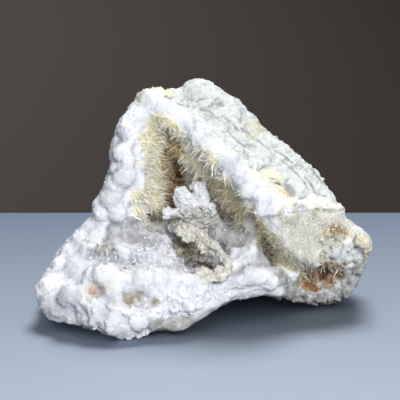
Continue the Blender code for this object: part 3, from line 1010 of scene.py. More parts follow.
# Rounded lumps of crust: across and down in pixels, radius in millimetres, and how deep each is sunk.
LUMPS = (
    (153, 102, 7.5, 0.55), (145, 99, 5, 0.5), (163, 109, 5.5, 0.55), (134, 121, 7.5, 0.5), (128, 130, 5.5, 0.5),
    (116, 168, 5, 0.55), (123, 152, 5.5, 0.5), (128, 161, 4.5, 0.5), (124, 176, 6.5, 0.55), (115, 185, 5.5, 0.5),
    (110, 199, 7, 0.55), (124, 197, 5.5, 0.55), (103, 211, 5.5, 0.5), (118, 213, 5.5, 0.6),
    (172, 122, 4, 0.7), (183, 131, 5, 0.7), (197, 136, 4.5, 0.7), (206, 144, 5, 0.65), (217, 148, 5.5, 0.6),
    (214, 158, 4, 0.5), (228, 160, 5, 0.5), (229, 174, 4.5, 0.4), (240, 176, 5.5, 0.5), (236, 188, 4.5, 0.4),
    (248, 190, 5.5, 0.5), (250, 202, 4, 0.4), (262, 198, 5.5, 0.5), (262, 210, 4.5, 0.45), (274, 208, 5.5, 0.5),
    (276, 222, 4, 0.4), (287, 216, 4.5, 0.5), (286, 232, 3.5, 0.4), (294, 244, 3.5, 0.4), (299, 254, 3, 0.4),
    (104, 275, 7.5, 0.5), (91, 277, 5.5, 0.5), (119, 277, 5.5, 0.5), (143, 281, 6.5, 0.5), (158, 279, 6, 0.5),
    (172, 281, 6, 0.5), (187, 283, 5.5, 0.5), (152, 292, 4.5, 0.5), (168, 293, 4.5, 0.5), (184, 295, 4.5, 0.5),
    (160, 304, 4, 0.5), (176, 306, 4, 0.5), (190, 306, 3.5, 0.5),
    (140, 234, 5, 0.6), (128, 240, 4.5, 0.6), (152, 238, 4.5, 0.6), (162, 248, 4, 0.5), (150, 252, 4, 0.5),
    (137, 254, 4, 0.5), (172, 256, 4, 0.5), (160, 262, 3.5, 0.5), (145, 265, 3.5, 0.5), (178, 265, 3, 0.5),
    (80, 240, 5.5, 0.6), (70, 252, 6.5, 0.6), (88, 250, 4.5, 0.6), (60, 268, 5.5, 0.6), (76, 268, 6.5, 0.6),
    (50, 285, 5.5, 0.6), (50, 303, 5.5, 0.55), (58, 311, 4.5, 0.5), (70, 297, 7, 0.55), (66, 309, 5, 0.5),
    (94, 312, 7, 0.6), (112, 320, 8, 0.6), (134, 318, 6.5, 0.6), (84, 303, 3.5, 0.5),
    (232, 268, 4.5, 0.5), (245, 262, 5.5, 0.5), (250, 275, 5.5, 0.5), (262, 275, 5.5, 0.5), (270, 283, 4.5, 0.5),
    (238, 282, 4.5, 0.5), (222, 286, 4, 0.5), (256, 286, 4.5, 0.5), (244, 240, 4, 0.5), (236, 252, 4, 0.5),
    (250, 250, 4.5, 0.5),
)


class Lumps:
    """Puts rounded lumps on a solid, where the reference view shows them."""

    SHRINK = 0.94
    OVERHANG = 1.04
    RIM = 16
    SMALLEST = 2

    def __init__(self, solid: bpy.types.Object) -> None:
        """Takes the solid that carries the lumps.

        Args:
            solid: The solid, with plain corners and faces.
        """
        self.solid = solid
        self.eye = VIEW.camera_place()
        self.tree = BVHTree.FromPolygons(
            [v.co for v in solid.data.vertices], [tuple(f.vertices) for f in solid.data.polygons])

    def hit(self, across: float, down: float) -> Vector | None:
        """Finds the place on the solid that is seen at a pixel."""
        ray = (VIEW.place(across, down, 0) - self.eye).normalized()
        return self.tree.ray_cast(self.eye, ray)[0]

    def fitting(self, across: float, down: float, radius: float) -> float:
        """Shrinks a lump until it doesn't widen the solid's outline.

        Args:
            across, down: The pixel of its middle.
            radius: Its radius, in millimetres.

        Returns:
            The radius that fits, in metres.
        """
        reach = radius * MM / VIEW.pixel * self.OVERHANG
        turns = [2 * math.pi * k / self.RIM for k in range(self.RIM)]
        while reach > self.SMALLEST and not all(
            self.hit(across + reach * math.cos(t), down + reach * math.sin(t)) for t in turns
        ):
            reach *= self.SHRINK
        return reach * VIEW.pixel / self.OVERHANG

    def add(self, rows: tuple[tuple[float, float, float, float], ...]) -> None:
        """Adds a ball for each row to the solid's mesh.

        Args:
            rows: Across and down in pixels, radius in millimetres, and how deep it is sunk.
        """
        mesh = bmesh.new()
        mesh.from_mesh(self.solid.data)
        for across, down, radius, sink in rows:
            place = self.hit(across, down)
            if place is None:
                LOG.warning("lump at %s, %s misses the stone", across, down)
                continue
            size = self.fitting(across, down, radius)
            centre = place + (place - self.eye).normalized() * size * sink
            add_ball(mesh, centre, size)
        mesh.to_mesh(self.solid.data)
        mesh.free()


@dataclass
class RockShell:
    """The whole stone but for its needles and crystals, as one finely broken skin."""

    voxel: float = 0.92 * MM
    smoothing: int = 16
    triangles: int = 186000
    rear_share: float = 10.0
    levels: int = 10
    layers: tuple[Layer, ...] = (
        Layer(Relief.CLOUDS, 24 * MM, 2.5 * MM, "rear"),
        Layer(Relief.FACETS, 13 * MM, 1.5 * MM, "rock", 1.6, 38),
        Layer(Relief.FACETS, 4.5 * MM, 0.7 * MM, "rock", 1.4, 38),
        Layer(Relief.CLOUDS, 12 * MM, 3.2 * MM, "crust"),
        Layer(Relief.CLOUDS, 4.5 * MM, 0.9 * MM, "crust"),
        Layer(Relief.FACETS, 3.0 * MM, 0.35 * MM, "crust"),
        Layer(Relief.BALLS, 2.0 * MM, 0.2 * MM, "crust"),
        Layer(Relief.FACETS, 4 * MM, 1.0 * MM, "rim_low"),
        Layer(Relief.FACETS, 10 * MM, 3.2 * MM, "plates"),
        Layer(Relief.FACETS, 3.6 * MM, 1.3 * MM, "jagged"),
        Layer(Relief.FACETS, 6 * MM, 2.0 * MM, "right_foot", 0.6),
        Layer(Relief.FACETS, 6.5 * MM, 5.5 * MM, "block"),
        Layer(Relief.CLOUDS, 4 * MM, 1.0 * MM, "bed"),
        Layer(Relief.FACETS, 3.5 * MM, 1.8 * MM, "rust"),
        Layer(Relief.FACETS, 3.0 * MM, 1.2 * MM, "grey_crevice"),
        Layer(Relief.FACETS, 4.5 * MM, 2.0 * MM, "hole"),
        Layer(Relief.CRACKS, 11 * MM, 0.15 * MM, "slab", 1.6, 38),
        Layer(Relief.CLOUDS, 2.0 * MM, 0.15 * MM, "all"),
        Layer(Relief.CLOUDS, 2.2 * MM, 0.5 * MM, "slab", 1.5, 38),
    )

    def build(self, trees: ReliefTrees, material: bpy.types.Material) -> bpy.types.Object:
        """Builds the skin and dresses it.

        Args:
            trees: The relief trees.
            material: The stone's finish.

        Returns:
            The skin, with its zones stored.
        """
        shell = merged_copy("geode_shell", "rock_shell")
        Lumps(shell).add(LUMPS)
        remesh(shell, self.voxel)
        relax(shell, self.smoothing)
        self.coarsen_rear(shell)
        Skin(shell.data).write_zones()
        trees.apply(shell, self.layers)
        Skin(shell.data).cut_grooves()
        keep_above_table(shell.data)
        Skin(shell.data).write_hollows()
        dress(shell, material, "rock_shell")
        return shell

    def coarsen_rear(self, shell: bpy.types.Object) -> None:
        """Takes faces from the rear only, so that the front keeps its fine ones.

        Args:
            shell: The skin.
        """
        Skin(shell.data).write_zones()
        rear = read(shell.data, "rear")
        group = shell.vertex_groups.new(name="rear")
        for level in range(1, self.levels + 1):
            chosen = np.flatnonzero(np.round(rear * self.levels) == level)
            group.add(chosen.tolist(), level / self.levels, "REPLACE")
        modifier = shell.modifiers.new("coarse_rear", "DECIMATE")
        modifier.ratio = min(1.0, self.triangles / triangles_in(shell))
        modifier.vertex_group = group.name
        modifier.vertex_group_factor = self.rear_share
        settle(shell)


def dress(obj: bpy.types.Object, material: bpy.types.Material, node: str = "") -> None:
    """Finishes a piece: its material, the body it hangs from, and the CAD node it stands for.

    Args:
        obj: The piece, with no modifier left.
        material: What it is made of.
        node: The CAD node that it replaces, if any.
    """
    obj.data.materials.clear()
    obj.data.materials.append(material)
    for face in obj.data.polygons:
        face.material_index = 0
    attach(obj, BODY)
    if node:
        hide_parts(node)
    LOG.info("%s: %d triangles", obj.name, triangles_in(obj))


@dataclass(frozen=True)
class NeedleFinish:
    """Straw-coloured calcite needles: pale tips, browner roots and depths, partly own colour and partly painted
    light and shade.
    """

    name: str = "needle_calcite"
    tip: Colour = srgb(255, 254, 246)
    shaft: Colour = srgb(253, 249, 226)
    root: Colour = srgb(236, 224, 178)
    deep: Colour = srgb(180, 140, 64)
    # Painted shade for needles over the small dark holes.
    shade_in_holes: Colour = srgb(62, 40, 18)
    milky: Colour = srgb(234, 233, 224)
    olive: Colour = srgb(224, 214, 164)
    border: float = 0.9
    green: float = 0.4
    dark: float = 0.8
    deep_from: float = 24 * MM
    deep_to: float = 46 * MM
    # Zones whose needles take the deep brown even where they aren't deep, and how much: the pocket's and the right
    # wall's own brown, and the slot's brown with painted shade.
    shaded: tuple[tuple[str, float], ...] = (("slot", 0.95), ("brown_right", 0.45), ("pocket", 0.9))

    def material(self) -> bpy.types.Material:
        """Wires the finish from the height along each needle and its tone.

        Returns:
            The material.
        """
        w = ShaderWiring(self.name)
        along, tone = w.attribute("along"), w.attribute("tone")
        # Paler towards the tip and browner at the root: partly the needles' own colour, partly painted highlight at
        # the tips and painted shade at the roots.
        colour = w.mix(w.range(along, 0.0, 0.55), self.root, self.shaft)
        colour = w.mix(w.range(along, 0.45, 1.0), colour, self.tip)
        # Painted shade, partly the needles' own brown: needles go deep brown the deeper they lie in the stone.
        sunk = w.range(VIEW.depth_in(w), self.deep_from, self.deep_to)
        for zone, share in self.shaded:
            sunk = w.math("MAXIMUM", sunk, w.math("MULTIPLY", w.attribute(zone), share))
        deep = w.math("MULTIPLY", sunk, w.range(tone, 0.0, 1.0, 1.0, 0.7))
        border = w.math("MAXIMUM", w.attribute("bed_druse"), w.range(w.attribute("bed"), 0.9, 0.35))
        colour = w.mix(w.math("MULTIPLY", border, self.border), colour, self.milky)
        green = w.math("MAXIMUM", w.attribute("olive_top"), w.attribute("brown_right"))
        colour = w.mix(w.math("MULTIPLY", green, self.green), colour, self.olive)
        # Painted glints: a few needles, mostly the bold ones, are whitened towards the tip colour.
        colour = w.mix(w.range(tone, 0.7, 1.0, 0.0, 0.8), colour, self.tip)
        colour = w.mix(deep, colour, self.deep)
        # Painted shade: needles in the small holes go near black.
        colour = w.mix(w.math("MULTIPLY", w.attribute("dark"), self.dark), colour, self.shade_in_holes)
        w.shade(
            base_color=colour, roughness=0.22, ior=1.6, subsurface_weight=0.6,
            subsurface_radius=(1.0, 1.0, 1.0), subsurface_scale=0.8 * MM,
            normal=w.bump(w.noise(0.6 * MM), 0.05 * MM),
        )
        return w.material


class ScatterTrees:
    """Geometry Nodes trees that grow needles or small crystals on a skin."""

    NEEDLE_INPUTS = {
        "Zone": "String", "Density": "Float", "Shortest": "Float", "Longest": "Float", "Thickness": "Float",
        "Spray": "Float", "Splay": "Float", "Jitter": "Float", "Seed": "Int", "Material": "Material",
    }
    CRYSTAL_INPUTS = {
        "Zone": "String", "Density": "Float", "Smallest": "Float", "Largest": "Float", "Stretch": "Float",
        "Upright": "Float", "Seed": "Int", "Material": "Material",
    }
    TAPER = 0.22
    SIDES = 3
    # Seeds of what differs from shape to shape. Where the shapes stand has each piece's own seed.
    TONE_SEED = 77
    HEADING_SEED = 5
    TWIST_SEED = 9
    LENGTH_SEED = 21
    TUMBLE_SEED = 3
    SIZE_SEED = 17
    FULL_TURN = 6.28
    HALF_TURN = 3.1
    # Few needles are bold. The shares of thickness and length run from a fine needle to a bold one.
    FEW = 4.0
    THICKNESS = (0.26, 0.66)
    LENGTH = (0.9, 1.5)
    # The share of the length from a patch's border to its middle.
    AT_BORDER = (0.4, 1.0)
    SLIM = 0.75
    ON_ITS_CORNER = (math.atan(math.sqrt(2)), 0.0, math.pi / 4)

    def __init__(self) -> None:
        """Builds the trees of needles, of small crystals and of round nubs."""
        self.needles = self._needles()
        self.crystals = self._crystals("small_crystals", False)
        self.nubs = self._crystals("nubs", True)

    def _points(self, w: GeometryWiring) -> bpy.types.Node:
        """Spreads points over the zone, denser where it is stronger.

        Args:
            w: The tree's wiring.

        Returns:
            The node that gives the points and their normals.
        """
        density = w.math("MULTIPLY", w.zone(w.given("Zone")), w.given("Density"))
        plugs = {"Mesh": w.given("Geometry"), "Density": density, "Seed": w.given("Seed")}
        return w.node("GeometryNodeDistributePointsOnFaces", plugs)

    def _end(self, w: GeometryWiring, instances: bpy.types.Node) -> None:
        """Gives each shape its tone, makes the shapes real and sets their material.

        Args:
            w: The tree's wiring.
            instances: The node that gives the shapes.
        """
        plugs = {"Geometry": instances, "Name": "tone", "Value": w.random(0.0, 1.0, self.TONE_SEED)}
        toned = w.node("GeometryNodeStoreNamedAttribute", plugs, data_type="FLOAT", domain="INSTANCE")
        real = w.node("GeometryNodeRealizeInstances", {"Geometry": toned})
        w.finish(w.out(w.node("GeometryNodeSetMaterial", {"Geometry": real, "Material": w.given("Material")})))

    def _needles(self) -> bpy.types.NodeTree:
        """Builds the tree of needles in radiating sprays.

        Returns:
            The tree.
        """
        w = GeometryWiring("needle_sprays", self.NEEDLE_INPUTS)
        points = self._points(w)
        normal = w.out(points, "Normal")
        position = w.node("GeometryNodeInputPosition")
        spot = w.scaled(position, w.math("DIVIDE", 1.0, w.given("Spray")))
        cells = w.node("ShaderNodeTexVoronoi", {"Vector": spot, "Scale": 1.0})
        away = w.vector("SUBTRACT", spot, w.out(cells, "Position"))
        along = w.vector("DOT_PRODUCT", away, normal)
        splay = w.scaled(w.vector("SUBTRACT", away, w.scaled(normal, along)), w.given("Splay"))
        jitter = w.scaled(w.random((-1, -1, -1), (1, 1, 1), self.HEADING_SEED), w.given("Jitter"))
        heading = w.vector("ADD", w.vector("ADD", normal, splay), jitter)
        turned = w.node("FunctionNodeAlignRotationToVector", {"Vector": heading}, axis="Z")
        twist = w.node("ShaderNodeCombineXYZ", {"Z": w.random(0.0, self.FULL_TURN, self.TWIST_SEED)})
        spin = w.node("FunctionNodeEulerToRotation", {"Euler": twist})
        cone = w.node("GeometryNodeMeshCone", {
            "Vertices": self.SIDES, "Radius Top": self.TAPER, "Radius Bottom": 1.0, "Depth": 1.0}, fill_type="NGON")
        height = w.node("ShaderNodeSeparateXYZ", {0: w.node("GeometryNodeInputPosition")})
        marked = w.node("GeometryNodeStoreNamedAttribute", {
            "Geometry": w.out(cone, "Mesh"), "Name": "along", "Value": w.out(height, "Z")},
            data_type="FLOAT", domain="POINT")
        bold = w.math("POWER", w.random(0.0, 1.0, self.TONE_SEED), self.FEW)
        thick = w.math("MULTIPLY", w.given("Thickness"), w.range(bold, 0.0, 1.0, *self.THICKNESS))
        long = w.random(w.given("Shortest"), w.given("Longest"), self.LENGTH_SEED)
        long = w.math("MULTIPLY", long, w.range(bold, 0.0, 1.0, *self.LENGTH))
        long = w.math("MULTIPLY", long, w.range(w.zone(w.given("Zone")), 0.0, 0.9, *self.AT_BORDER))
        self._end(w, self._placed(w, points, marked, self._rotated(w, turned, spin), (thick, thick, long)))
        return w.tree

    def _rotated(self, w: GeometryWiring, rotation: Any, more: Any) -> bpy.types.Node:
        """Turns a shape further about its own axes."""
        plugs = {"Rotation": rotation, "Rotate By": more}
        return w.node("FunctionNodeRotateRotation", plugs, rotation_space="LOCAL")

    def _placed(self, w: GeometryWiring, points: bpy.types.Node, shape: Any, rotation: Any,
                size: tuple[Socket, Socket, Socket]) -> bpy.types.Node:
        """Puts a shape on every point.

        Args:
            w: The tree's wiring.
            points: The node that gives the points.
            shape: The shape.
            rotation: How it is turned.
            size: How large it is along X, Y and Z.

        Returns:
            The node that gives the shapes.
        """
        scale = w.node("ShaderNodeCombineXYZ", dict(zip("XYZ", size)))
        return w.node("GeometryNodeInstanceOnPoints", {
            "Points": w.out(points, "Points"), "Instance": shape, "Rotation": rotation, "Scale": scale})

    def _crystals(self, name: str, round_ones: bool) -> bpy.types.NodeTree:
        """Builds the tree of small crystals that stand on a corner, or of round nubs on their base.

        Args:
            name: The tree's name.
            round_ones: Whether it grows nubs, and keeps the skin that they grow on.

        Returns:
            The tree.
        """
        w = GeometryWiring(name, self.CRYSTAL_INPUTS)
        points = self._points(w)
        turned = w.node("FunctionNodeAlignRotationToVector", {
            "Vector": w.out(points, "Normal"), "Factor": w.given("Upright")}, axis="Z")
        if round_ones:
            solid = w.node("GeometryNodeMeshIcoSphere", {"Radius": 0.5, "Subdivisions": 2})
        else:
            tumble = w.random((-self.HALF_TURN,) * 3, (self.HALF_TURN,) * 3, self.TUMBLE_SEED)
            turned = self._rotated(w, turned, w.node("FunctionNodeEulerToRotation", {"Euler": tumble}))
            solid = w.node("GeometryNodeMeshCube", {"Size": (1.0, 1.0, 1.0)})
        plugs = {"Geometry": w.out(solid, "Mesh"), "Rotation": self.ON_ITS_CORNER}
        stretch = w.node("ShaderNodeCombineXYZ", {"X": self.SLIM, "Y": self.SLIM, "Z": w.given("Stretch")})
        shape = w.node("GeometryNodeTransform", {
            "Geometry": w.node("GeometryNodeTransform", plugs), "Scale": stretch})
        size = w.random(0.0, 1.0, self.SIZE_SEED)
        size = w.math("MULTIPLY", size, size)
        spread = w.math("SUBTRACT", w.given("Largest"), w.given("Smallest"))
        size = w.math("ADD", w.math("MULTIPLY", size, spread), w.given("Smallest"))
        instances = self._placed(w, points, shape, turned, (size, size, size))
        if round_ones:
            real = w.node("GeometryNodeRealizeInstances", {"Geometry": instances})
            both = w.node("GeometryNodeJoinGeometry")
            w.tree.links.new(w.given("Geometry"), both.inputs[0])
            w.tree.links.new(w.out(real), both.inputs[0])
            w.finish(w.out(both))
        else:
            self._end(w, instances)
        return w.tree


def grow(piece: Any, tree: bpy.types.NodeTree, labels: dict[str, str], skin: bpy.types.Object,
         material: bpy.types.Material) -> bpy.types.Object:
    """Grows the shapes of one piece on a copy of the skin.

    Args:
        piece: The piece, whose fields have the names of the tree's inputs.
        tree: The tree that grows the shapes.
        labels: The tree's inputs.
        skin: The skin, with its zones stored.
        material: The finish of the shapes.

    Returns:
        The shapes, as a plain mesh.
    """
    grown = new_object(piece.name, skin.data.copy())
    values = {label: getattr(piece, label.lower()) for label in labels if label != "Material"}
    add_tree(grown, tree, values | {"Material": material})
    keep_above_table(settle(grown).data)
    return grown


@dataclass(frozen=True)
class NeedleSpray:
    """One patch of needles on a wall of the hollow."""

    name: str
    node: str
    zone: str
    density: float
    shortest: float = 2.6 * MM
    longest: float = 5.6 * MM
    thickness: float = 0.85 * MM
    spray: float = 7 * MM
    splay: float = 0.9
    jitter: float = 0.35
    seed: int = 1

    def build(self, trees: ScatterTrees, skin: bpy.types.Object, material: bpy.types.Material) -> None:
        """Grows the needles on the skin and dresses them."""
        needles = grow(self, trees.needles, trees.NEEDLE_INPUTS, skin, material)
        dress(needles, material, self.node)


@dataclass(frozen=True)
class SugarCrust:
    """Small white crystals strewn over one part of the skin."""

    name: str
    zone: str
    density: float
    smallest: float
    largest: float
    stretch: float = 1.25
    upright: float = 0.5
    seed: int = 1

    def build(self, trees: ScatterTrees, skin: bpy.types.Object, material: bpy.types.Material) -> None:
        """Grows the crystals on the skin and dresses them."""
        crystals = grow(self, trees.crystals, trees.CRYSTAL_INPUTS, skin, material)
        dress(crystals, material)


@dataclass(frozen=True)
class SugarFinish:
    """Clear to white grains of calcite."""

    name: str = "sugar_calcite"
    pale: Colour = srgb(240, 241, 246)
    shade: Colour = srgb(214, 216, 226)

    def material(self) -> bpy.types.Material:
        """Wires the finish from the tone of each grain.

        Returns:
            The material.
        """
        w = ShaderWiring(self.name)
        colour = w.mix(w.range(w.attribute("tone"), 0.2, 0.9), self.pale, self.shade)
        colour = w.mix(w.range(w.noise(9 * MM), 0.45, 0.7, 0, 0.5), colour, self.shade)
        w.shade(base_color=colour, roughness=0.4, ior=1.5, normal=w.bump(w.noise(0.5 * MM), 0.05 * MM))
        return w.material


@dataclass(frozen=True)
class CoralFinish:
    """Milky calcite of the coral-like growth, from white lobes to a cream strut."""

    white: Colour = srgb(218, 219, 222)
    shade: Colour = srgb(196, 198, 205)
    cream: Colour = srgb(214, 211, 199)
    grey: Colour = srgb(160, 155, 142)
    # Painted shade in the gaps between the nubs.
    gap_shade: Colour = srgb(112, 105, 90)
    cream_share: float = 0.0
    rubble_share: float = 0.65

    def material(self) -> bpy.types.Material:
        """Wires the finish from how hollow the skin is and where the rubble lies.

        Returns:
            The material.
        """
        w = ShaderWiring(f"coral_calcite_{round(self.cream_share * 10)}")
        hollow = w.attribute("hollow")
        shade = self.shade if self.cream_share < 0.5 else self.grey
        colour = w.mix(self.cream_share, self.white, self.cream)
        colour = w.mix(w.range(w.noise(3 * MM), 0.45, 0.75, 0, 0.6), colour, shade)
        rubble = w.math("MULTIPLY", w.attribute("rubble"), self.rubble_share * (1 - self.cream_share))
        colour = w.mix(rubble, colour, self.grey)
        # Painted shade: the hollows between the rubble's nubs darken.
        deep = w.math("MULTIPLY", w.range(hollow, 0.1, 0.9, 0, 1), w.range(w.attribute("rubble"), 0, 1, 0.15, 0.8))
        colour = w.mix(deep, colour, self.gap_shade)
        colour = w.mix(w.range(hollow, -0.2, -0.9, 0, 0.7 - 0.5 * self.cream_share), colour, self.white)
        w.shade(
            base_color=colour, roughness=0.42, subsurface_weight=0.4, subsurface_radius=(1.0, 1.0, 1.0),
            subsurface_scale=0.8 * MM, ior=1.5, normal=w.bump(w.noise(0.8 * MM, 4), 0.12 * MM),
        )
        return w.material


# Balls of each limb: across and down in pixels, depth behind the middle plane and radius in millimetres.
CORAL_BALLS = {
    "coral_trunk": (
        (186, 203, 6, 4.5), (194, 205, 5, 4.5), (203, 205, 6, 4.2), (210, 208, 7, 3.4), (206, 200, 7, 2.8),
        (182, 209, 7, 3.4), (190, 211, 5, 3.8), (200, 212, 5, 3.8), (213, 212, 7, 2.4),
    ),
    "coral_lobe_left": (
        (182, 196, 4, 4.0), (178.5, 192, 3.5, 2.5), (184, 190.5, 3.5, 2.3), (188, 196, 4, 3.2),
        (180, 201, 5, 3.6), (176.5, 197, 4, 2.2),
    ),
    "coral_lobe_right": (
        (198, 192, 4, 3.4), (193, 187, 4, 2.3), (198, 186, 3.5, 1.9), (203, 187.5, 4, 2.4), (204, 193, 5, 2.4),
        (199, 199, 5, 3.4), (195, 195, 5, 2.6),
    ),
    "coral_side_knob": ((171, 214, 5, 2.5), (167, 215, 4.5, 2.1), (176, 213, 6, 2.6), (164.5, 216.5, 4.5, 1.4)),
}
# Limbs of the strut: each a path of places, as above, from end to end.
STRUT_LIMBS = (
    ((178, 229, 3, 2.2), (184, 228, 2, 2.7), (190, 229, 1, 2.6), (196, 231, 0, 2.4)),
    ((180, 233, 2, 2.2), (185, 234, 1.5, 2.4), (191, 235, 1, 2.4), (197, 236, -1, 2.0)),
    ((185, 239, 1.5, 1.8), (190, 240, 1, 2.0), (194, 239, 0, 1.6)),
    ((196, 231, 0, 2.6), (204.5, 238.5, -3, 2.7), (213, 245, -7, 2.5), (219.5, 252, -11, 2.4), (224, 258, -14, 2.4),
     (228, 264, -17, 2.5), (226, 272, -20, 2.4), (221, 278, -22, 2.2)),
    ((199, 237, -1, 2.0), (201, 244, -3, 2.3), (204, 249, -3, 2.1), (203, 252, -3, 1.4)),
    ((205, 243, -3, 1.6), (207, 249, -4, 1.6), (208, 253, -3, 1.1)),
    ((219, 268, -19, 1.8), (219, 275, -21, 2.2), (213, 278, -21, 2.4)),
    ((198, 273, -18, 2.6), (205, 272, -18, 2.8), (211, 275, -19, 2.6), (207, 280, -21, 2.8), (200, 279, -20, 2.8),
     (204, 284, -22, 2.2)),
)


def along(path: tuple[tuple[float, float, float, float], ...], step: float = 1.2) -> list[tuple[float, ...]]:
    """Fills a path in, so that its balls run into each other.

    Args:
        path: Places: across and down in pixels, depth and radius in millimetres.
        step: How far apart the balls are, in pixels.

    Returns:
        The places, closer together.
    """
    filled = []
    for start, end in zip(np.array(path, float), np.array(path[1:], float)):
        count = max(1, round(float(np.hypot(*(end - start)[:2])) / step))
        filled += [tuple(start + (end - start) * k / count) for k in range(count + 1)]
    return filled


@dataclass(frozen=True)
class CoralPiece:
    """One limb of the coral-like growth, with the nubs of its rubble, if it has any."""

    name: str
    node: str
    voxel: float = 0.4 * MM
    relaxed: int = 4
    nubs: float = 0.0
    smallest: float = 1.6 * MM
    largest: float = 3.2 * MM
    stretch: float = 1.5
    upright: float = 0.9
    seed: int = 4
    layers: tuple[Layer, ...] = (
        Layer(Relief.CLOUDS, 4.0 * MM, 1.5 * MM, "all"),
        Layer(Relief.FACETS, 3.4 * MM, 1.1 * MM, "all"),
        Layer(Relief.BALLS, 2.0 * MM, 0.3 * MM, "all"),
    )

    def build(self, trees: ReliefTrees, scatter: ScatterTrees, material: bpy.types.Material) -> None:
        """Builds the limb and dresses it.

        Args:
            trees: The relief trees.
            scatter: The trees that grow nubs.
            material: The limb's finish.
        """
        mesh = bmesh.new()
        if self.node in CORAL_BALLS:
            limb, balls = merged_copy(self.name, self.node), CORAL_BALLS[self.node]
            mesh.from_mesh(limb.data)
        else:
            limb = new_object(self.name, bpy.data.meshes.new(self.name))
            balls = [ball for path in STRUT_LIMBS for ball in along(path)]
        for across, down, deep, radius in balls:
            add_ball(mesh, VIEW.place(across, down, deep), radius * MM)
        mesh.to_mesh(limb.data)
        mesh.free()
        remesh(limb, self.voxel)
        if self.nubs:
            Skin(limb.data).write_zones()
            add_tree(limb, scatter.nubs, {
                "Zone": "rubble", "Density": self.nubs, "Smallest": self.smallest, "Largest": self.largest,
                "Stretch": self.stretch, "Upright": self.upright, "Seed": self.seed, "Material": material,
            })
            remesh(limb, self.voxel)
        relax(limb, self.relaxed)
        Skin(limb.data).write_zones()
        trees.apply(limb, self.layers)
        Skin(limb.data).write_hollows()
        dress(limb, material, self.node)


@dataclass(frozen=True)
class GemFinish:
    """Clear coloured calcite: light goes through it and takes its colour on the way."""

    name: str
    surface: Colour
    inside: Colour
    density: float
    transmission: float = 0.3
    cloud: Colour = srgb(250, 246, 232)

    def material(self) -> bpy.types.Material:
        """Wires the finish: a clear surface over an absorbing volume.

        Returns:
            The material.
        """
        w = ShaderWiring(self.name)
        colour = w.mix(w.range(w.noise(3 * MM), 0.35, 0.7, 0, 0.6), self.surface, self.cloud)
        w.shade(
            base_color=colour, roughness=0.16, transmission_weight=self.transmission, ior=1.6,
            normal=w.bump(w.noise(1.2 * MM), 0.08 * MM),
        )
        volume = w.node("ShaderNodeVolumeAbsorption", {"Color": self.inside, "Density": self.density})
        w.tree.links.new(w.out(volume), w.tree.nodes["Material Output"].inputs["Volume"])
        return w.material


@dataclass(frozen=True)
class GemPiece:
    """Crystals that stand for a CAD node: blades set into the skin, or the node's own shape made rounder."""

    name: str
    node: str
    slot: str
    blades: tuple[Pixels, ...] = ()
    proud: float = 1.1 * MM
    thickness: float = 3.0 * MM
    bevel: float = 0.3 * MM
    bevel_steps: int = 2
    voxel: float = 0.5 * MM
    relaxed: int = 3
    layers: tuple[Layer, ...] = (
        Layer(Relief.FACETS, 3.0 * MM, 1.1 * MM, "all"), Layer(Relief.CLOUDS, 2 * MM, 0.3 * MM, "all"))

    def build(self, lumps: Lumps, trees: ReliefTrees, material: bpy.types.Material) -> None:
        """Builds the crystals and dresses them."""
        gem = self.cut_blades(lumps) if self.blades else self.rounded(trees)
        dress(gem, material, self.node)

    def cut_blades(self, lumps: Lumps) -> bpy.types.Object:
        """Makes flat crystals that stand a little out of the skin.

        Args:
            lumps: The finder of places on the skin.

        Returns:
            The crystals.
        """
        mesh = bmesh.new()
        for outline in self.blades:
            rays = [(VIEW.place(x, y, 0) - lumps.eye).normalized() for x, y in outline]
            reach = sorted((lumps.hit(x, y) - lumps.eye).length for x, y in outline)[len(outline) // 2]
            front = [mesh.verts.new(lumps.eye + ray * (reach - self.proud)) for ray in rays]
            back = [mesh.verts.new(lumps.eye + ray * (reach - self.proud + self.thickness)) for ray in rays]
            mesh.faces.new(front)
            mesh.faces.new(back[::-1])
            for k in range(len(front)):
                mesh.faces.new((front[k - 1], back[k - 1], back[k], front[k]))
        bmesh.ops.recalc_face_normals(mesh, faces=mesh.faces)
        gem = from_bmesh(self.name, mesh)
        modifier = gem.modifiers.new("edges", "BEVEL")
        modifier.width = self.bevel
        modifier.segments = self.bevel_steps
        return settle(gem)

    def rounded(self, trees: ReliefTrees) -> bpy.types.Object:
        """Makes the node's shape rounder and a little uneven.

        Args:
            trees: The relief trees.

        Returns:
            The crystals.
        """
        gem = merged_copy(self.name, self.node)
        remesh(gem, self.voxel)
        relax(gem, self.relaxed)
        Skin(gem.data).write_zones()
        trees.apply(gem, self.layers)
        return gem


@dataclass(frozen=True)
class GradedFinish:
    """A plain surface that goes softly from one colour to another along an axis: painted fall-off of light on the
    stage.
    """

    name: str
    first: Colour
    second: Colour
    axis: str
    low: float
    high: float
    roughness: float
    gloss: float

    def material(self) -> bpy.types.Material:
        """Wires the finish.

        Returns:
            The material.
        """
        w = ShaderWiring(self.name)
        split = w.node("ShaderNodeSeparateXYZ", {0: w.place})
        colour = w.mix(w.range(w.out(split, self.axis), self.low, self.high), self.first, self.second)
        w.shade(base_color=colour, roughness=self.roughness, specular_ior_level=self.gloss,
                normal=w.bump(w.noise(3 * MM), 0.02 * MM))
        return w.material


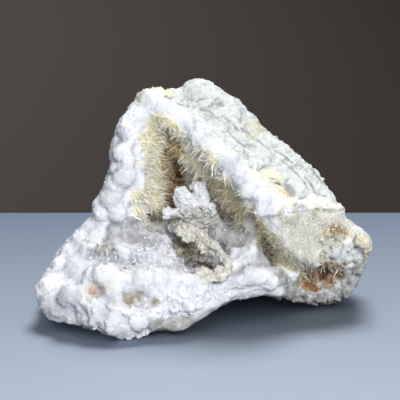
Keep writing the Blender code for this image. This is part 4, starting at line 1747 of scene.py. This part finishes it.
@dataclass(frozen=True)
class StageBlock:
    """A flat block of the stage, between two corners."""

    name: str
    low: tuple[float, float, float]
    high: tuple[float, float, float]
    finish: GradedFinish

    def build(self) -> None:
        """Builds the block."""
        mesh = bmesh.new()
        bmesh.ops.create_cube(mesh, size=1.0)
        low, high = Vector(self.low), Vector(self.high)
        bmesh.ops.scale(mesh, verts=mesh.verts, vec=high - low)
        bmesh.ops.translate(mesh, verts=mesh.verts, vec=(low + high) / 2)
        block = from_bmesh(self.name, mesh)
        block.data.materials.append(self.finish.material())
        block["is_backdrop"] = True


@dataclass(frozen=True)
class Lamp:
    """A soft round light."""

    name: str
    place: tuple[float, float, float]
    power: float
    colour: tuple[float, float, float] = (1.0, 1.0, 1.0)
    size: float = 0.9

    def build(self, aim: Vector) -> bpy.types.Object:
        """Adds the light.

        Args:
            aim: The place that it shines on.

        Returns:
            The light.
        """
        data = bpy.data.lights.new(self.name, "AREA")
        data.shape = "DISK"
        data.size, data.energy, data.color = self.size, self.power, self.colour
        lamp = bpy.data.objects.new(self.name, data)
        bpy.context.scene.collection.objects.link(lamp)
        lamp.location = self.place
        lamp.rotation_mode = "QUATERNION"
        lamp.rotation_quaternion = (aim - Vector(self.place)).to_track_quat("-Z", "Y")
        return lamp


@dataclass(frozen=True)
class Studio:
    """The table, the dark room behind it, the lights and the camera."""

    blocks: tuple[StageBlock, ...] = (
        # Painted light: the table darkens from near to far, and the room floor from left to right.
        StageBlock("table", (-1.6, -2.6, -0.03), (1.6, 0.16, 0.0), GradedFinish(
            "table_top", srgb(202, 215, 231), srgb(129, 142, 163), "Y", -0.15, 0.16, 0.5, 0.1)),
        StageBlock("room", (-6.0, -6.0, -0.1), (6.0, 6.0, -0.031), GradedFinish(
            "room_floor", srgb(80, 74, 71), srgb(51, 46, 41), "X", -0.2, 0.25, 0.9, 0.0)),
    )
    above: Lamp = Lamp("above", (0.25, 0.9, 1.85), 33.0)
    window: Lamp = Lamp("window", (0.4, -1.4, 0.9), 30.5, (0.99, 0.99, 0.99))
    aim: tuple[float, float, float] = (0.0, 0.0, 0.05)
    sky: Colour = (0.92, 0.95, 1.0, 1.0)
    sky_strength: float = 0.22

    def build(self) -> None:
        """Builds the stage. The window lights only the stone, as a bounce from the front would."""
        for block in self.blocks:
            block.build()
        self.above.build(Vector(self.aim))
        window = self.window.build(Vector(self.aim))
        lit = bpy.data.collections.new("lit_by_window")
        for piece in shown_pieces():
            lit.objects.link(piece)
        window.light_linking.receiver_collection = lit
        world = bpy.data.worlds.new("soft_sky")
        bpy.context.scene.world = world
        world.use_nodes = True
        background = world.node_tree.nodes["Background"]
        background.inputs["Color"].default_value = self.sky
        background.inputs["Strength"].default_value = self.sky_strength
        bpy.context.scene.view_settings.view_transform = "Standard"
        VIEW.add_camera()


def add_needles(trees: ScatterTrees, shell: bpy.types.Object) -> None:
    """Grows every patch of needles and fibres.

    Args:
        trees: The trees that grow them.
        shell: The stone's skin, with its zones stored.
    """
    straw = NeedleFinish().material()
    olive = NeedleFinish(
        "olive_needles", srgb(232, 228, 204), srgb(206, 199, 168), srgb(170, 158, 114), srgb(132, 102, 54),
        milky=srgb(204, 201, 185)).material()
    pale = NeedleFinish(
        "druse_needles", srgb(234, 233, 222), srgb(214, 213, 200), srgb(192, 189, 172), srgb(170, 140, 90),
        milky=srgb(210, 209, 197)).material()
    milk = NeedleFinish(
        "milky_needles", srgb(252, 252, 250), srgb(240, 240, 236), srgb(214, 214, 208), srgb(200, 198, 190),
    ).material()
    rust = NeedleFinish(
        "rust_fibres", srgb(212, 196, 166), srgb(178, 150, 114), srgb(142, 108, 72), srgb(104, 70, 44),
        border=0.0).material()
    for spray, finish in (
        (NeedleSpray("needles_left_wall", "needle_spray_left", "bed_left", 0.95e6, jitter=0.6, seed=11), straw),
        (NeedleSpray("needles_right_wall", "needle_spray_right", "bed_right", 0.95e6, jitter=0.6, seed=12), straw),
        (NeedleSpray("needles_band", "needle_spray_band", "bed_band", 0.8e6, 1.6 * MM, 3.4 * MM, jitter=0.7,
                     seed=13), olive),
        (NeedleSpray("needles_druse", "needle_druse_lower", "bed_druse", 0.9e6, 0.7 * MM, 1.8 * MM, jitter=0.9,
                     seed=14), pale),
        (NeedleSpray("needles_hole", "", "bed_hole", 2.0e6, 2.5 * MM, 4.5 * MM, jitter=0.6, seed=16), olive),
        (NeedleSpray("needles_floor", "", "fan_left", 1.0e6, 3 * MM, 5 * MM, jitter=0.8, seed=15), milk),
        (NeedleSpray("fibres_in_pocket", "", "rust", 0.13e6, 2.0 * MM, 4.6 * MM, jitter=0.7, seed=17), rust),
    ):
        spray.build(trees, shell, finish)


def add_sugar(trees: ScatterTrees, shell: bpy.types.Object) -> None:
    """Strews the small crystals over the skin.

    Args:
        trees: The trees that grow them.
        shell: The stone's skin, with its zones stored.
    """
    white = SugarFinish().material()
    straw = SugarFinish("straw_sugar", srgb(224, 223, 216), srgb(184, 183, 172)).material()
    for crust, finish in (
        (SugarCrust("sugar_on_floor", "jagged", 0.12e6, 0.5 * MM, 1.8 * MM, seed=22), white),
        (SugarCrust("sugar_in_crevice", "grey_crevice", 0.2e6, 0.5 * MM, 1.4 * MM, seed=27), white),
        (SugarCrust("sugar_on_rim", "rim_low", 0.12e6, 0.5 * MM, 2.0 * MM, seed=25), white),
        (SugarCrust("sugar_on_right_foot", "right_foot", 0.02e6, 0.4 * MM, 1.2 * MM, seed=23), straw),
        (SugarCrust("sugar_on_druse", "bed_druse", 0.45e6, 0.4 * MM, 1.3 * MM, seed=26), straw),
        (SugarCrust("sugar_on_crust", "crust", 0.12e6, 0.25 * MM, 0.7 * MM, seed=24), white),
    ):
        crust.build(trees, shell, finish)


def add_coral(relief: ReliefTrees, scatter: ScatterTrees) -> None:
    """Builds the limbs of the coral-like growth.

    Args:
        relief: The relief trees.
        scatter: The trees that grow nubs.
    """
    white, cream = CoralFinish().material(), CoralFinish(cream_share=0.9).material()
    jagged = (
        Layer(Relief.FACETS, 2.6 * MM, 1.2 * MM, "all"),
        Layer(Relief.CLOUDS, 2.0 * MM, 0.6 * MM, "all"),
        Layer(Relief.BALLS, 1.2 * MM, 0.25 * MM, "all"),
    )
    for limb, finish in (
        (CoralPiece("coral_body", "coral_trunk", nubs=0.12e6), white),
        (CoralPiece("coral_left", "coral_lobe_left"), white),
        (CoralPiece("coral_right", "coral_lobe_right"), white),
        (CoralPiece("coral_side", "coral_side_knob"), white),
        (CoralPiece("coral_bridge", "coral_strut", relaxed=2, layers=jagged), cream),
    ):
        limb.build(relief, scatter, finish)


def add_crystals(relief: ReliefTrees, shell: bpy.types.Object) -> None:
    """Sets the honey and amber crystals into the skin.

    Args:
        relief: The relief trees.
        shell: The stone's skin.
    """
    straw = GemFinish("straw_crystal", srgb(230, 220, 178), (0.96, 0.9, 0.66, 1), 80).material()
    honey = GemFinish("honey_crystal", srgb(250, 250, 222), (0.98, 0.97, 0.76, 1), 60).material()
    amber = GemFinish("amber_crystal", srgb(226, 190, 134), (0.92, 0.66, 0.3, 1), 150).material()
    knob = GemFinish("amber_knob", srgb(240, 228, 202), (0.96, 0.8, 0.5, 1), 80, 0.35).material()
    lumps = Lumps(shell)
    for gem, finish in (
        (GemPiece("honey_blades", "honey_plate", "honey_crystal", (
            ((256, 172.5), (262, 169.5), (270, 170), (279, 175), (276, 178.5), (268, 177.5), (260, 176.5)),
            ((271, 174), (279, 173.5), (285, 178), (281, 181), (274, 179)),
        )), honey),
        (GemPiece("amber_blades", "amber_crystal", "amber_crystal", (
            ((273.5, 184), (277, 184), (283, 187.5), (286.5, 192), (284, 195), (279, 192), (275, 188)),
        )), straw),
        (GemPiece("amber_tip", "", "amber_crystal", (
            ((283, 192), (286.5, 191.5), (288.5, 195.5), (287, 199.5), (284, 197.5)),
        ), 1.4 * MM), amber),
        (GemPiece("amber_knob", "amber_end_knob", "amber_crystal"), knob),
        (GemPiece("top_crystals", "top_yellow_crystals", "honey_crystal"), honey),
    ):
        gem.build(lumps, relief, finish)


def main() -> None:
    """Builds every piece of the geode and the stage around it."""
    logging.basicConfig(level=logging.INFO, format="%(name)s: %(message)s")
    relief, scatter = ReliefTrees(), ScatterTrees()
    shell = RockShell().build(relief, StoneFinish().material())
    add_needles(scatter, shell)
    add_sugar(scatter, shell)
    add_coral(relief, scatter)
    add_crystals(relief, shell)
    Studio().build()


if __name__ == "__main__":
    main()
